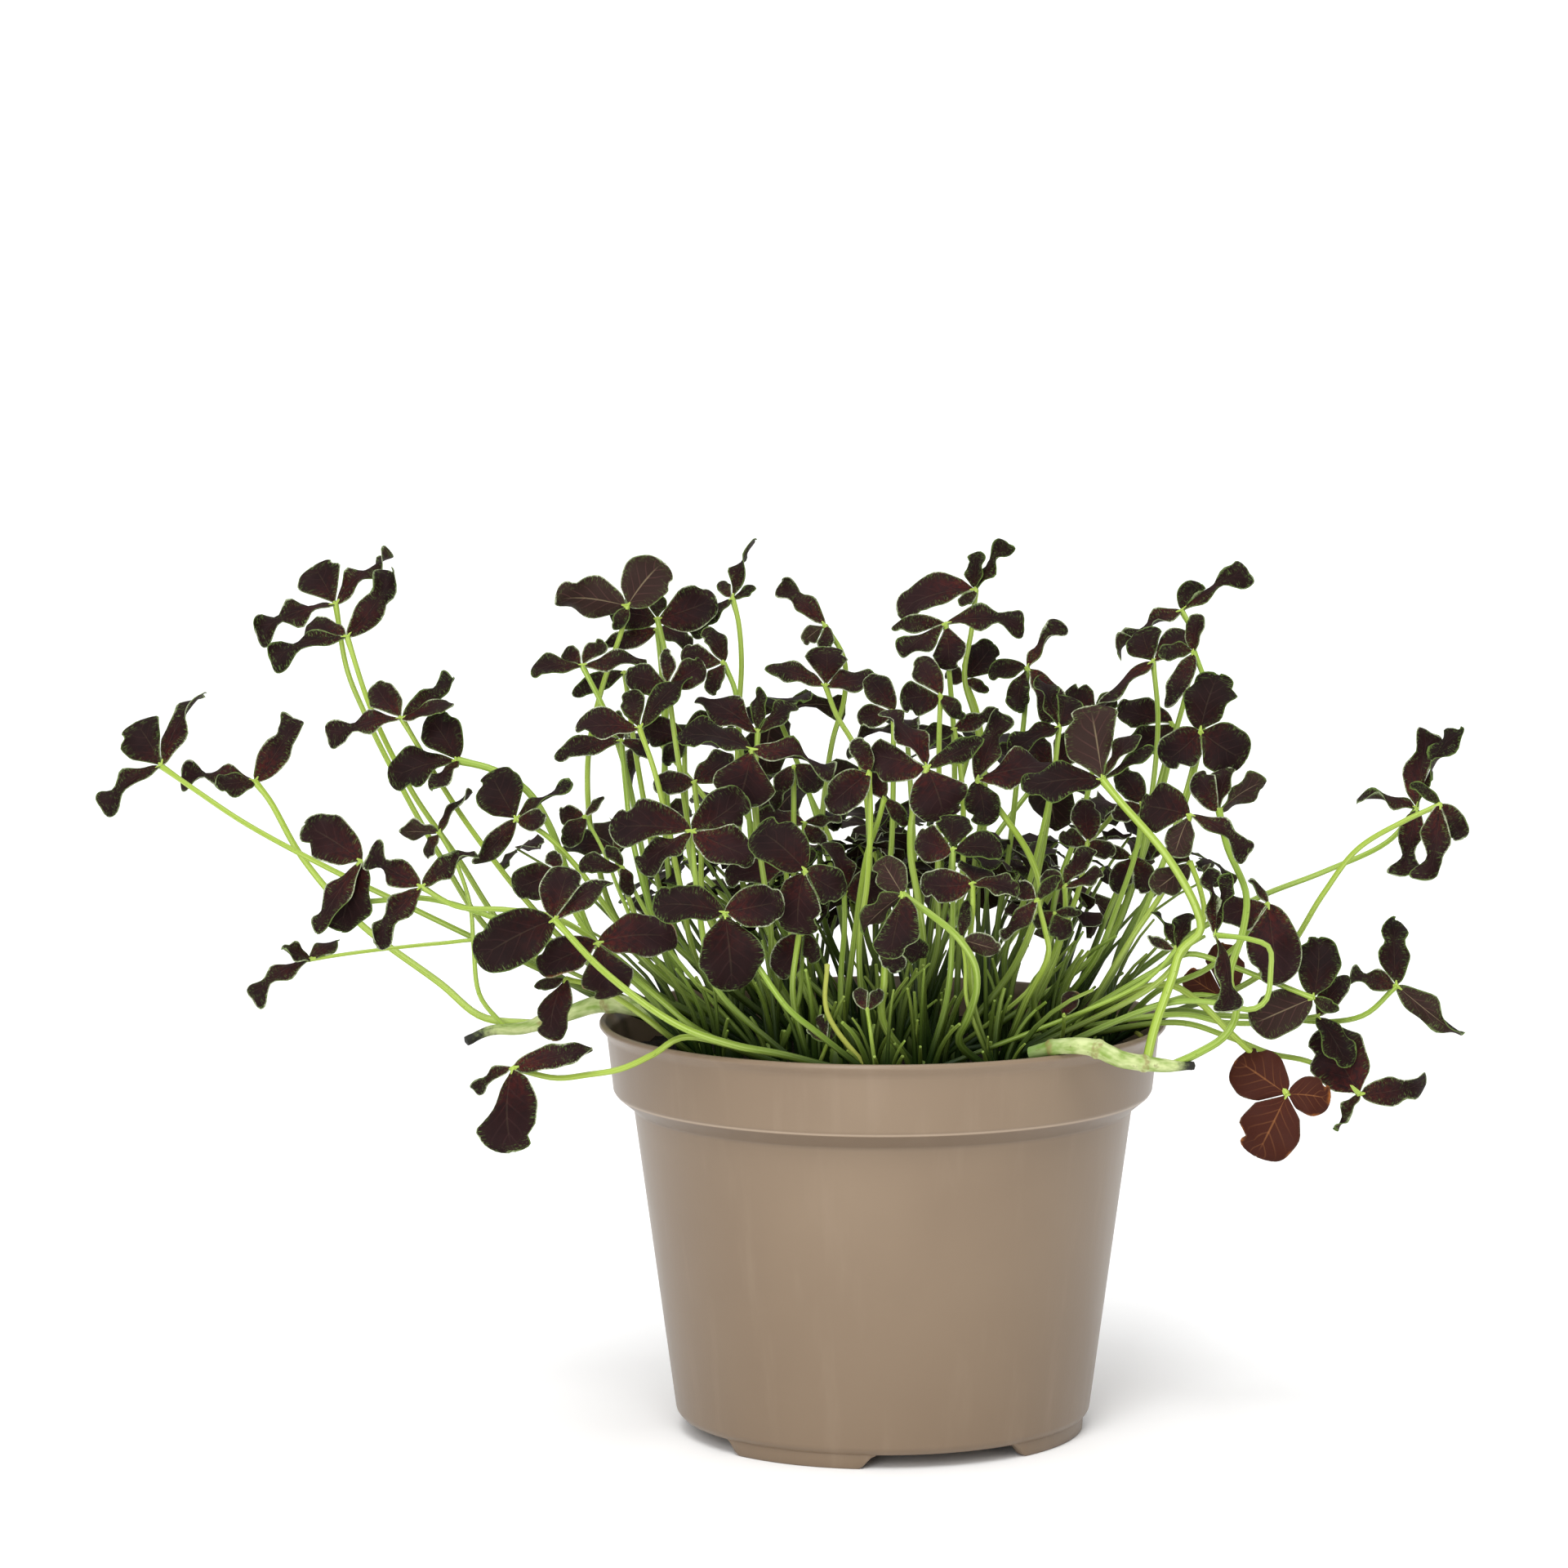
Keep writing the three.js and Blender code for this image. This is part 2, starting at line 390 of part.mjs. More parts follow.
    blades: [[1217, 788, 44, "oval", 0], [1158, 824, 26, "oval", 0], [1210, 847, 16, "lance", 0]] },
  { at: [1343, 873], back: 10, root: [30, 6], far: true,
    stem: [[1340, 930], [1322, 1010], [1290, 1110]],
    blades: [[1303, 850, 46, "oval", 0], [1366, 850, 26, "lance", 0.2]] },
  { at: [1436, 886], back: 30, root: [36, 18], far: true,
    stem: [[1425, 940], [1400, 1020], [1360, 1110]],
    blades: [[1368, 866, 40, "oval", 0], [1382, 922, 42, "oval", 0]] },
  { at: [1386, 1050], back: -6, root: [30, -6], far: true,
    stem: [[1380, 1100], [1350, 1160]],
    blades: [[1368, 1094, 34, "oval", 0], [1408, 1092, 36, "oval", 0], [1342, 1036, 18, "lance", 0.2]] },
  { at: [1291, 1118], back: -30, root: [26, -28], wide: 1.3, far: true,
    stem: [[1286, 1150], [1270, 1200]],
    blades: [[1306, 1150, 32, "oval", 0], [1324, 1118, 14, "lance", 0.2], [1266, 1132, 22, "oval", 0]] },
  { at: [1034, 1092], back: -20, root: [-8, -20], far: true,
    stem: [[1034, 1140], [1030, 1190]],
    blades: [[1084, 1080, 46, "round", 0], [1015, 1030, 26, "oval", 0.3]] },
  { at: [984, 1143], back: -40, root: [-18, -34], wide: 1.4, far: true,
    stem: [[982, 1180], [978, 1225]],
    blades: [[952, 1194, 46, "oval", 0], [998, 1180, 26, "oval", 0]] },
  { at: [962, 1060], back: -12, root: [-16, -14], far: true,
    stem: [[966, 1110], [972, 1170]],
    blades: [[888, 1076, 36, "oval", 0], [1000, 1044, 22, "lance", 0.2]] },
  { at: [850, 958], back: -14, root: [-24, -8], far: true,
    stem: [[858, 1030], [866, 1120]],
    blades: [[897, 924, 34, "oval", 0], [800, 962, 30, "oval", 0]] },
  { at: [972, 938], back: -6, root: [-10, 0], far: true,
    stem: [[972, 1000], [972, 1080], [976, 1150]],
    blades: [[944, 990, 32, "waist", 0], [1004, 966, 34, "oval", 0]] },
  { at: [985, 1008], back: 8, root: [-8, 8], far: true,
    stem: [[984, 1060], [984, 1130]],
    blades: [[925, 1003, 26, "oval", 0], [1012, 1034, 22, "lance", 0], [1030, 1000, 22, "waist", 0]] },
  { at: [838, 905], back: 8, root: [-22, 8], far: true,
    stem: [[840, 980], [850, 1070]],
    blades: [[788, 892, 40, "oval", 0], [882, 878, 38, "oval", 0], [812, 935, 26, "oval", 0]] },
  { at: [684, 1066], back: -24, root: [-30, -22], far: true,
    stem: [[700, 1110], [740, 1170], [790, 1215]],
    blades: [[628, 1088, 46, "oval", 0], [676, 1042, 22, "oval", 0.2]] },
  { at: [752, 1042], back: 0, root: [-26, 0], far: true,
    stem: [[770, 1100], [800, 1170]],
    blades: [[690, 1034, 26, "oval", 0], [776, 1012, 20, "lance", 0]] },
  { at: [1094, 872], back: 6, root: [2, 6], far: true,
    stem: [[1094, 940], [1092, 1030], [1084, 1130]],
    blades: [[1062, 828, 36, "oval", 0], [1050, 880, 30, "oval", 0.1]] },
  { at: [1062, 1236], back: -48, root: [-2, -42], wide: 1.2, far: true,
    stem: [],
    blades: [[1050, 1210, 20, "oval", 0], [1079, 1212, 18, "oval", 0]] },
  { at: [1290, 940], back: 8, root: [24, 8], far: true,
    stem: [[1282, 1010], [1264, 1100]],
    blades: [[1318, 900, 40, "oval", 0], [1252, 900, 34, "oval", 0]] },
];

// Leaves hidden from the front: column and row of the joint, and how far behind the pot's axis it is
const HIDDEN_LEAVES = [
  [770, 1000, 60], [800, 900, 46], [835, 1090, 84], [905, 980, 88],
  [950, 870, 46], [985, 960, 66], [1070, 1000, 78], [1110, 890, 48],
  [1130, 1080, 82], [1190, 910, 46], [1230, 1050, 88], [1275, 950, 54],
  [1300, 1080, 72], [1370, 990, 44],
];
const HIDDEN_BLADE = 15.5;
const HIDDEN_SEED = 20;
const HIDDEN_ROOT = [0.42, 0.5];
const HIDDEN_BENDS = [[0.38, 0.2], [0.72, 0.55]];

// Hidden leaflets: the share of leaves that have four and of leaflets with a waist, how wide they are and
// how unevenly spread, and the least and the range of their lean, length and droop
const FOUR_SHARE = 0.4;
const WAIST_SHARE = 0.35;
const HIDDEN_FULLNESS = 1.15;
const HIDDEN_UNEVEN = 0.3;
const HIDDEN_LEAN = [0.35, 0.5];
const HIDDEN_LENGTH = [0.8, 0.35];
const HIDDEN_DROOP = [0.15, 0.35];

// Numbers from 0 to 1 that are the same on every run
function randomSource(seed) {
  let state = seed >>> 0;
  return () => {
    state = (state + 0x6d2b79f5) >>> 0;
    let mixed = Math.imul(state ^ (state >>> 15), 1 | state);
    mixed = (mixed + Math.imul(mixed ^ (mixed >>> 7), 61 | mixed)) ^ mixed;
    return ((mixed ^ (mixed >>> 14)) >>> 0) / 4294967296;
  };
}

const radians = THREE.MathUtils.degToRad;
const vector = (x, y, z) => new THREE.Vector3(x, y, z);

// The point that is seen at a column and row of the front view, at a depth behind the pot's axis
function seenPoint(column, row, back) {
  const rise = (CENTRE_ROW - row) / VIEW_FOCAL;
  const cos = Math.cos(VIEW_TILT);
  const sin = Math.sin(VIEW_TILT);
  const away = back + VIEW_DISTANCE;
  const height = (away * (rise * cos - sin)) / (cos + rise * sin);
  const depth = away * cos - height * sin;
  return vector(((column - AXIS_COLUMN) * depth) / VIEW_FOCAL, back, VIEW_HEIGHT + height);
}

// The column and row at which a point is seen
function seenAt(point) {
  const cos = Math.cos(VIEW_TILT);
  const sin = Math.sin(VIEW_TILT);
  const away = point.y + VIEW_DISTANCE;
  const height = point.z - VIEW_HEIGHT;
  const depth = away * cos - height * sin;
  const up = height * cos + away * sin;
  return [AXIS_COLUMN + (VIEW_FOCAL * point.x) / depth, CENTRE_ROW - (VIEW_FOCAL * up) / depth];
}

// A closed geometry as a solid, with its shared vertices merged and its flat triangles left out
function solidOf(geometry) {
  const bare = new THREE.BufferGeometry();
  bare.setAttribute("position", geometry.getAttribute("position").clone());
  bare.setIndex(geometry.index);
  const merged = mergeVertices(bare, WELD);
  const kept = [];
  for (let i = 0; i < merged.index.count; i += 3) {
    const [a, b, c] = [0, 1, 2].map((k) => merged.index.getX(i + k));
    if (a !== b && b !== c && c !== a) kept.push(a, b, c);
  }
  const mesh = new wasm.Mesh({
    numProp: 3,
    vertProperties: new Float32Array(merged.attributes.position.array),
    triVerts: new Uint32Array(kept),
  });
  return new wasm.Manifold(mesh);
}

// A solid as a geometry with flat faces
function geometryOf(solid) {
  const mesh = solid.getMesh();
  const geometry = new THREE.BufferGeometry();
  const places = new Float32Array(mesh.vertProperties);
  geometry.setAttribute("position", new THREE.BufferAttribute(places, 3));
  geometry.setIndex(new THREE.BufferAttribute(new Uint32Array(mesh.triVerts), 1));
  geometry.computeVertexNormals();
  return geometry;
}

// A closed geometry from points and triangles
function geometryFrom(points, triangles) {
  const geometry = new THREE.BufferGeometry();
  const places = points.flatMap(({ x, y, z }) => [x, y, z]);
  geometry.setAttribute("position", new THREE.Float32BufferAttribute(places, 3));
  geometry.setIndex(triangles);
  return geometry;
}

// A solid through rings of points that go the same way round, with a flat cap on each end
function loft(rings) {
  const count = rings[0].length;
  const triangles = [];
  for (let ring = 0; ring + 1 < rings.length; ring += 1) {
    for (let k = 0; k < count; k += 1) {
      const a = ring * count + k;
      const b = ring * count + ((k + 1) % count);
      triangles.push(a, b, b + count, a, b + count, a + count);
    }
  }
  const last = (rings.length - 1) * count;
  for (let k = 1; k + 1 < count; k += 1) {
    triangles.push(0, k + 1, k, last, last + k, last + k + 1);
  }
  return solidOf(geometryFrom(rings.flat(), triangles));
}

// Rings of points along a curve, of a width given at a share of its length, with corners in the given
// directions. At its start the corners are spread evenly
function stemRings(curve, widthAt, corners, steps) {
  const frames = curve.computeFrenetFrames(steps, false);
  const sides = corners.length;
  const outer = Math.PI / (sides * Math.sin(Math.PI / sides));
  return Array.from({ length: steps + 1 }, (_, step) => {
    const share = step / steps;
    const centre = curve.getPointAt(share);
    const radius = (widthAt(share) / 2) * outer;
    return corners.map((corner, k) => {
      const even = corners[0] + (2 * Math.PI * k) / sides;
      const angle = even + (corner - even) * share ** 2;
      return centre
        .clone()
        .addScaledVector(frames.normals[step], Math.cos(angle) * radius)
        .addScaledVector(frames.binormals[step], Math.sin(angle) * radius);
    });
  });
}

// A prism that stands on a point of the soil
function prism(x, y, bottom, top, radius, sides) {
  const ring = (height) =>
    Array.from({ length: sides }, (_, k) => {
      const angle = (2 * Math.PI * k) / sides;
      return vector(x + radius * Math.cos(angle), y + radius * Math.sin(angle), height);
    });
  return loft([ring(bottom), ring(top)]);
}

// A profile of radius and height, turned round the pot's axis
function turned(profile, sides) {
  const points = profile.map(([radius, height]) => new THREE.Vector2(radius, height));
  const geometry = new THREE.LatheGeometry(points, sides);
  geometry.rotateX(Math.PI / 2);
  return geometry;
}

// Heights and slopes that the pot and its soil share
const bandBottom = POT_HEIGHT - BAND_HEIGHT;
const lipBottom = POT_HEIGHT - LIP_HEIGHT;
const shelf = bandBottom - SHELF_DROP;
const floorTop = FOOT_HEIGHT + FLOOR_THICKNESS;
const bodySlope = (BODY_TOP_RADIUS - BODY_BOTTOM_RADIUS) / (shelf - FOOT_HEIGHT);

// Pot: a floor, a tapered body, a sloping shelf, the wide band and the lip, with the inside a wall in
function potSolid() {
  const profile = [
    [0, FOOT_HEIGHT],
    [BODY_BOTTOM_RADIUS - BASE_BEVEL, FOOT_HEIGHT],
    [BODY_BOTTOM_RADIUS, FOOT_HEIGHT + BASE_BEVEL],
    [BODY_TOP_RADIUS, shelf],
    [BAND_BOTTOM_RADIUS - BAND_BEVEL, bandBottom],
    [BAND_BOTTOM_RADIUS, bandBottom + BAND_BEVEL],
    [BAND_TOP_RADIUS, lipBottom - LIP_FLARE],
    [LIP_RADIUS, lipBottom],
    [LIP_RADIUS - LIP_BEVEL, POT_HEIGHT],
    [BAND_TOP_RADIUS - WALL, lipBottom - LIP_FLARE / 2],
    [BAND_BOTTOM_RADIUS - WALL, bandBottom + INNER_SHELF],
    [BODY_TOP_RADIUS - WALL, shelf + INNER_SHELF],
    [BODY_BOTTOM_RADIUS - WALL + bodySlope * FLOOR_THICKNESS, floorTop],
    [0, floorTop],
  ];
  let pot = solidOf(turned(profile, POT_SIDES));
  for (let k = 0; k < FOOT_COUNT; k += 1) {
    pot = pot.add(footSolid(FIRST_FOOT + (360 / FOOT_COUNT) * k));
  }
  const [low, high] = [FOOT_HEIGHT - FLOOR_THICKNESS, floorTop + FLOOR_THICKNESS];
  for (let k = 0; k < DRAIN_COUNT; k += 1) {
    const angle = radians(FIRST_FOOT + (360 / DRAIN_COUNT) * k);
    const [x, y] = [DRAIN_CIRCLE * Math.sin(angle), -DRAIN_CIRCLE * Math.cos(angle)];
    pot = pot.subtract(prism(x, y, low, high, DRAIN_RADIUS, DRAIN_SIDES));
  }
  return pot;
}

// Foot: an arc of the base ring, flat below, whose ends ramp up to the pot's underside
function footSolid(middle) {
  const half = FOOT_ARC / 2;
  const stations = [
    [-half, FOOT_HEIGHT - FOOT_LIFT],
    [-half + FOOT_RAMP, 0],
    [-half / 3, 0],
    [half / 3, 0],
    [half - FOOT_RAMP, 0],
    [half, FOOT_HEIGHT - FOOT_LIFT],
  ];
  const top = FOOT_HEIGHT + FOOT_SINK;
  const rings = stations.map(([turn, low]) => {
    const angle = radians(middle + turn);
    const at = (radius, z) => vector(radius * Math.sin(angle), -radius * Math.cos(angle), z);
    const inner = FOOT_OUTER_RADIUS - FOOT_WIDTH;
    return [at(inner, low), at(inner, top), at(FOOT_OUTER_RADIUS, top), at(FOOT_OUTER_RADIUS, low)];
  });
  return loft(rings);
}

// Soil: fills the pot, lumpy on top, with a plain hole for each crown's stub
function soilSolid(crowns) {
  const inset = WALL + SOIL_GAP;
  const edge = (BAND_BOTTOM_RADIUS + BAND_TOP_RADIUS) / 2 - inset - SOIL_GAP / 2;
  const profile = [
    [0, floorTop + SOIL_GAP],
    [BODY_BOTTOM_RADIUS - inset + bodySlope * FLOOR_THICKNESS, floorTop + SOIL_GAP],
    [BODY_TOP_RADIUS - inset, shelf + INNER_SHELF + SOIL_GAP],
    [BAND_BOTTOM_RADIUS - inset, bandBottom + INNER_SHELF + 2 * SOIL_GAP],
    [edge, SOIL_TOP - SOIL_EDGE_DROP],
    ...SOIL_RINGS.map((share) => [edge * share, SOIL_TOP]),
    [0, SOIL_TOP],
  ];
  const geometry = turned(profile, SOIL_SIDES);
  const places = geometry.getAttribute("position");
  for (let i = 0; i < places.count; i += 1) {
    if (places.getZ(i) >= SOIL_TOP - SOIL_EDGE_DROP / 2) {
      places.setZ(i, SOIL_TOP + soilLump(places.getX(i), places.getY(i)));
    }
  }
  const low = STUB_BOTTOM - HOLE_GAP;
  let soil = solidOf(geometry);
  crowns.forEach(({ x, y }) => {
    soil = soil.subtract(prism(x, y, low, SOIL_TOP + HOLE_RISE, STUB_RADIUS + HOLE_GAP, STUB_SIDES));
  });
  return soil;
}

// How far the soil's top rises above or falls below its mean height at a point
function soilLump(x, y) {
  const [along, aside, across] = SOIL_WAVES;
  const [first, second] = SOIL_PHASES;
  const wave = Math.sin(along * x + first) * Math.cos(aside * y + second);
  return SOIL_LUMP * (wave + 0.5 * Math.sin(across * (x + y)) - SOIL_LUMP_MEAN);
}

// Crowns stand on a sunflower spiral over the soil
function crownPlaces() {
  return Array.from({ length: CROWN_COUNT }, (_, k) => {
    const radius = CROWN_SPREAD * Math.sqrt((k + FIRST_CROWN) / CROWN_COUNT);
    const angle = radians(CROWN_TURN * k);
    return { x: radius * Math.cos(angle), y: radius * Math.sin(angle), leaves: 0 };
  });
}

// Half width of an outline at a share t of the leaflet's length, as a share of its widest
function outlineWidth(outline, t) {
  const { base, tip, waist } = outline;
  const peak = base / (base + tip);
  const scale = peak ** base * (1 - peak) ** tip;
  const plain = (t ** base * (1 - t) ** tip) / scale;
  const pinch = waist * Math.exp(-(((t - WAIST_PLACE) / WAIST_REACH) ** 2));
  return plain * (1 - pinch);
}

// A leaflet's point: along its axis, arched up in the middle, and across it by the outline's width,
// the whole turned more and more towards the tip
function bladePoint(blade, t, side) {
  const { base, axis, up, across, length, width, outline } = blade;
  const half = (width / 2) * outlineWidth(outline, t);
  const turn = radians(outline.twist) * (t - TWIST_START) * blade.turnSense;
  const acrossTurned = across.clone().multiplyScalar(Math.cos(turn)).addScaledVector(up, Math.sin(turn));
  const upTurned = up.clone().multiplyScalar(Math.cos(turn)).addScaledVector(across, -Math.sin(turn));
  const point = base.clone().addScaledVector(axis, length * t);
  point.addScaledVector(up, outline.arch * length * 4 * t * (1 - t));
  point.addScaledVector(acrossTurned, side * half);
  return { point, normal: upTurned };
}

// How far across a leaflet its edge may reach at a share t of its length, as a share of its own half
// width: no nearer to the plane midway between it and another leaflet of its leaf than BLADE_CLEARANCE
function clearShare(blade, t, side) {
  const rib = bladePoint(blade, t, 0).point.sub(blade.base);
  const edge = bladePoint(blade, t, side).point.sub(blade.base);
  const shares = blade.others.map((other) => {
    const across = blade.axis.clone().sub(other).normalize();
    const [inner, outer] = [rib.dot(across), edge.dot(across)];
    return outer < BLADE_CLEARANCE ? (inner - BLADE_CLEARANCE) / (inner - outer) : 1;
  });
  return Math.max(LEAST_SHARE, Math.min(1, ...shares));
}

// A leaflet's upper and lower points: down its right edge from the hub, round the tip and back up its left
// turnedOver: its underside is on the hub's upper side
function bladeRims(blade, turnedOver) {
  let stations = blade.outline.waist > 0 ? WAIST_STATIONS : LARGE_STATIONS;
  if (blade.length < SMALL_BLADE || blade.coarse) stations = SMALL_STATIONS;
  const way = turnedOver ? -1 : 1;
  const edge = (side) => stations.map((t) => bladePoint(blade, t, side * clearShare(blade, t, side)));
  const [left, right] = [edge(-way).reverse(), edge(way)];
  const rim = [...right, bladePoint(blade, 1, 0), ...left];
  const offset = ({ point, normal }, distance) => point.clone().addScaledVector(normal, way * distance);
  return {
    upper: rim.map((place) => offset(place, BLADE_THICKNESS / 2)),
    lower: rim.map((place) => offset(place, -BLADE_THICKNESS / 2)),
  };
}

// The faces of a leaflet that grows from one side of its hub. hub: that side's corners, right and left,
// above and below. The same triangles, from edge to edge, are on both faces
function bladeFaces(points, hub, { upper, lower }) {
  const first = points.length;
  points.push(...upper, ...lower);
  const above = [hub.rightAbove, ...upper.map((_, k) => first + k), hub.leftAbove];
  const below = [hub.rightBelow, ...lower.map((_, k) => first + upper.length + k), hub.leftBelow];
  const last = above.length - 1;
  const tip = last / 2;
  const faces = [[tip - 1, tip, tip + 1]];
  for (let k = 0; k + 1 < tip; k += 1) {
    faces.push([k, k + 1, last - k - 1], [k, last - k - 1, last - k]);
  }
  const triangles = [];
  faces.forEach(([a, b, c]) => triangles.push(above[a], above[b], above[c], below[a], below[c], below[b]));
  for (let k = 0; k < last; k += 1) {
    triangles.push(above[k], below[k], below[k + 1], above[k], below[k + 1], above[k + 1]);
  }
  return triangles;
}

// A leaflet laid out in the front view: its rib runs from the joint to the tip, and it is turned about
// the rib until its widest part looks as wide as it is seen, with its upper side as high as it can be
function seenBlade(joint, back, coarse, [column, row, seenWidth, kind, lean, under]) {
  const outline = OUTLINES[kind];
  const flatTip = seenPoint(column, row, back);
  const leaning = (lean * flatTip.distanceTo(joint)) / Math.sqrt(1 - lean * lean);
  const tilted = LEAF_TILT * (flatTip.z - joint.z);
  const tip = seenPoint(column, row, back + (lean === 0 ? tilted : leaning));
  const length = tip.distanceTo(joint);
  const axis = tip.clone().sub(joint).normalize();
  const pixel = VIEW_DISTANCE / VIEW_FOCAL;
  const width = Math.max(seenWidth * pixel, outline.ratio * length);
  const turn = Math.acos(Math.min(1, (seenWidth * pixel) / width));
  const eye = vector(0, -VIEW_DISTANCE, VIEW_HEIGHT).sub(joint).normalize();
  const facing = eye.addScaledVector(axis, -eye.dot(axis)).normalize();
  if (under) facing.negate();
  const sideways = axis.clone().cross(facing);
  const turnedBy = (angle) =>
    facing.clone().multiplyScalar(Math.cos(angle)).addScaledVector(sideways, Math.sin(angle));
  const choices = [turnedBy(turn), turnedBy(-turn)];
  const up = choices[0].z >= choices[1].z ? choices[0] : choices[1];
  const turnSense = column < AXIS_COLUMN ? 1 : -1;
  return finishedBlade({ joint, tip, axis, up, width, outline, turnSense, coarse });
}

// The rest of a leaflet's values: how long it is and which way is across
function finishedBlade(blade) {
  const across = blade.axis.clone().cross(blade.up).normalize();
  const length = blade.tip.distanceTo(blade.joint);
  return { ...blade, across, length, base: blade.joint.clone() };
}

// A hidden leaf's leaflets spread evenly about its stalk, lean out with it and droop a little
function hiddenBlades(joint, outward, random) {
  const within = ([least, range]) => least + range * random();
  const count = random() < FOUR_SHARE ? 4 : 3;
  const lean = vector(outward.x, outward.y, 0).multiplyScalar(within(HIDDEN_LEAN));
  const up = lean.add(vector(0, 0, 1)).normalize();
  const start = random() * 2 * Math.PI;
  const right = vector(1, 0, 0).cross(up).normalize();
  const ahead = up.clone().cross(right).normalize();
  return Array.from({ length: count }, (_, k) => {
    const angle = start + (2 * Math.PI * (k + HIDDEN_UNEVEN * (random() - 0.5))) / count;
    const length = HIDDEN_BLADE * within(HIDDEN_LENGTH);
    const droop = within(HIDDEN_DROOP);
    const axis = right.clone().multiplyScalar(Math.cos(angle)).addScaledVector(ahead, Math.sin(angle));
    axis.addScaledVector(up, -droop).normalize();
    const own = up.clone().addScaledVector(axis, -up.dot(axis)).normalize();
    const outline = random() < WAIST_SHARE ? OUTLINES.waist : OUTLINES.oval;
    const tip = joint.clone().addScaledVector(axis, length);
    const width = outline.ratio * length * HIDDEN_FULLNESS;
    return finishedBlade({ joint, tip, axis, up: own, width, outline, turnSense: 1, coarse: true });
  });
}

// A stalk's curve from its root to the joint, its depth growing evenly along what is seen of it
function seenStalk(leaf, root, back) {
  const joint = seenPoint(...leaf.at, back);
  const seen = [leaf.at, ...leaf.stem, seenAt(root)];
  const reach = [0];
  for (let k = 1; k < seen.length; k += 1) {
    reach.push(reach[k - 1] + Math.hypot(seen[k][0] - seen[k - 1][0], seen[k][1] - seen[k - 1][1]));
  }
  const points = leaf.stem.map(([column, row], k) => {
    const share = reach[k + 1] / reach[reach.length - 1];
    return seenPoint(column, row, back + (root.y - back) * share);
  });
  return [root, ...points.reverse(), joint];
}

// A hidden leaf's stalk rises from the soil and then leans out to its joint
function hiddenStalk(root, joint) {
  const at = (rise, spread) =>
    vector(
      root.x + (joint.x - root.x) * spread,
      root.y + (joint.y - root.y) * spread,
      root.z + (joint.z - root.z) * rise,
    );
  return [root, ...HIDDEN_BENDS.map((shares) => at(...shares)), joint];
}

// The sides of a hub, each with its direction about the stalk: every leaflet has one of its own, and
// sides that carry none are added until there are three
function hubSides(directions) {
  const turn = 2 * Math.PI;
  const sides = directions.map((angle, blade) => ({ angle: (angle + turn) % turn, blade }));
  sides.sort((a, b) => a.angle - b.angle);
  if (sides.length === 0) sides.push({ angle: 0 });
  if (sides.length === 1) {
    const [{ angle }] = sides;
    sides.push({ angle: angle + turn / 3 }, { angle: angle + (2 * turn) / 3 });
  }
  if (sides.length === 2) {
    const between = sides[1].angle - sides[0].angle;
    const inside = between > turn / 2;
    const angle = (sides[0].angle + sides[1].angle) / 2 + (inside ? 0 : turn / 2);
    sides.splice(inside ? 1 : 2, 0, { angle });
  }
  return sides;
}

// The directions of a hub's corners, half way between its sides' or nearer to even where one side
// would be too narrow or too wide
function hubCorners(sides) {
  const turn = 2 * Math.PI;
  const count = sides.length;
  const corners = sides.map(({ angle }, k) => {
    const next = sides[(k + 1) % count].angle + (k + 1 === count ? turn : 0);
    return (angle + next) / 2;
  });
  const first = corners.reduce((sum, angle, k) => sum + angle - (turn * k) / count, 0) / count;
  for (let ease = 0; ease < 1; ease += HUB_EASE) {
    const eased = corners.map((angle, k) => angle + (first + (turn * k) / count - angle) * ease);
    const gaps = eased.map((angle, k) => (k === 0 ? angle + turn - eased[count - 1] : angle - eased[k - 1]));
    if (Math.min(...gaps) > HUB_LEAST && Math.max(...gaps) < HUB_MOST) return eased;
  }
  return corners.map((_, k) => first + (turn * k) / count);
}

// A hub's directions: up leans from the stalk's end towards the leaflets' own upper side
function hubFrame(end, normal, laid) {
  const lean = vector(0, 0, 0);
  laid.forEach(({ up, length }) => lean.addScaledVector(up, up.dot(laid[0].up) < 0 ? -length : length));
  if (laid.length > 0) lean.normalize();
  if (lean.dot(end) < 0) lean.negate();
  const up = end.clone().addScaledVector(lean, HUB_LEAN).normalize();
  const right = normal.clone().addScaledVector(up, -normal.dot(up)).normalize();
  return { up, right, ahead: up.clone().cross(right) };
}

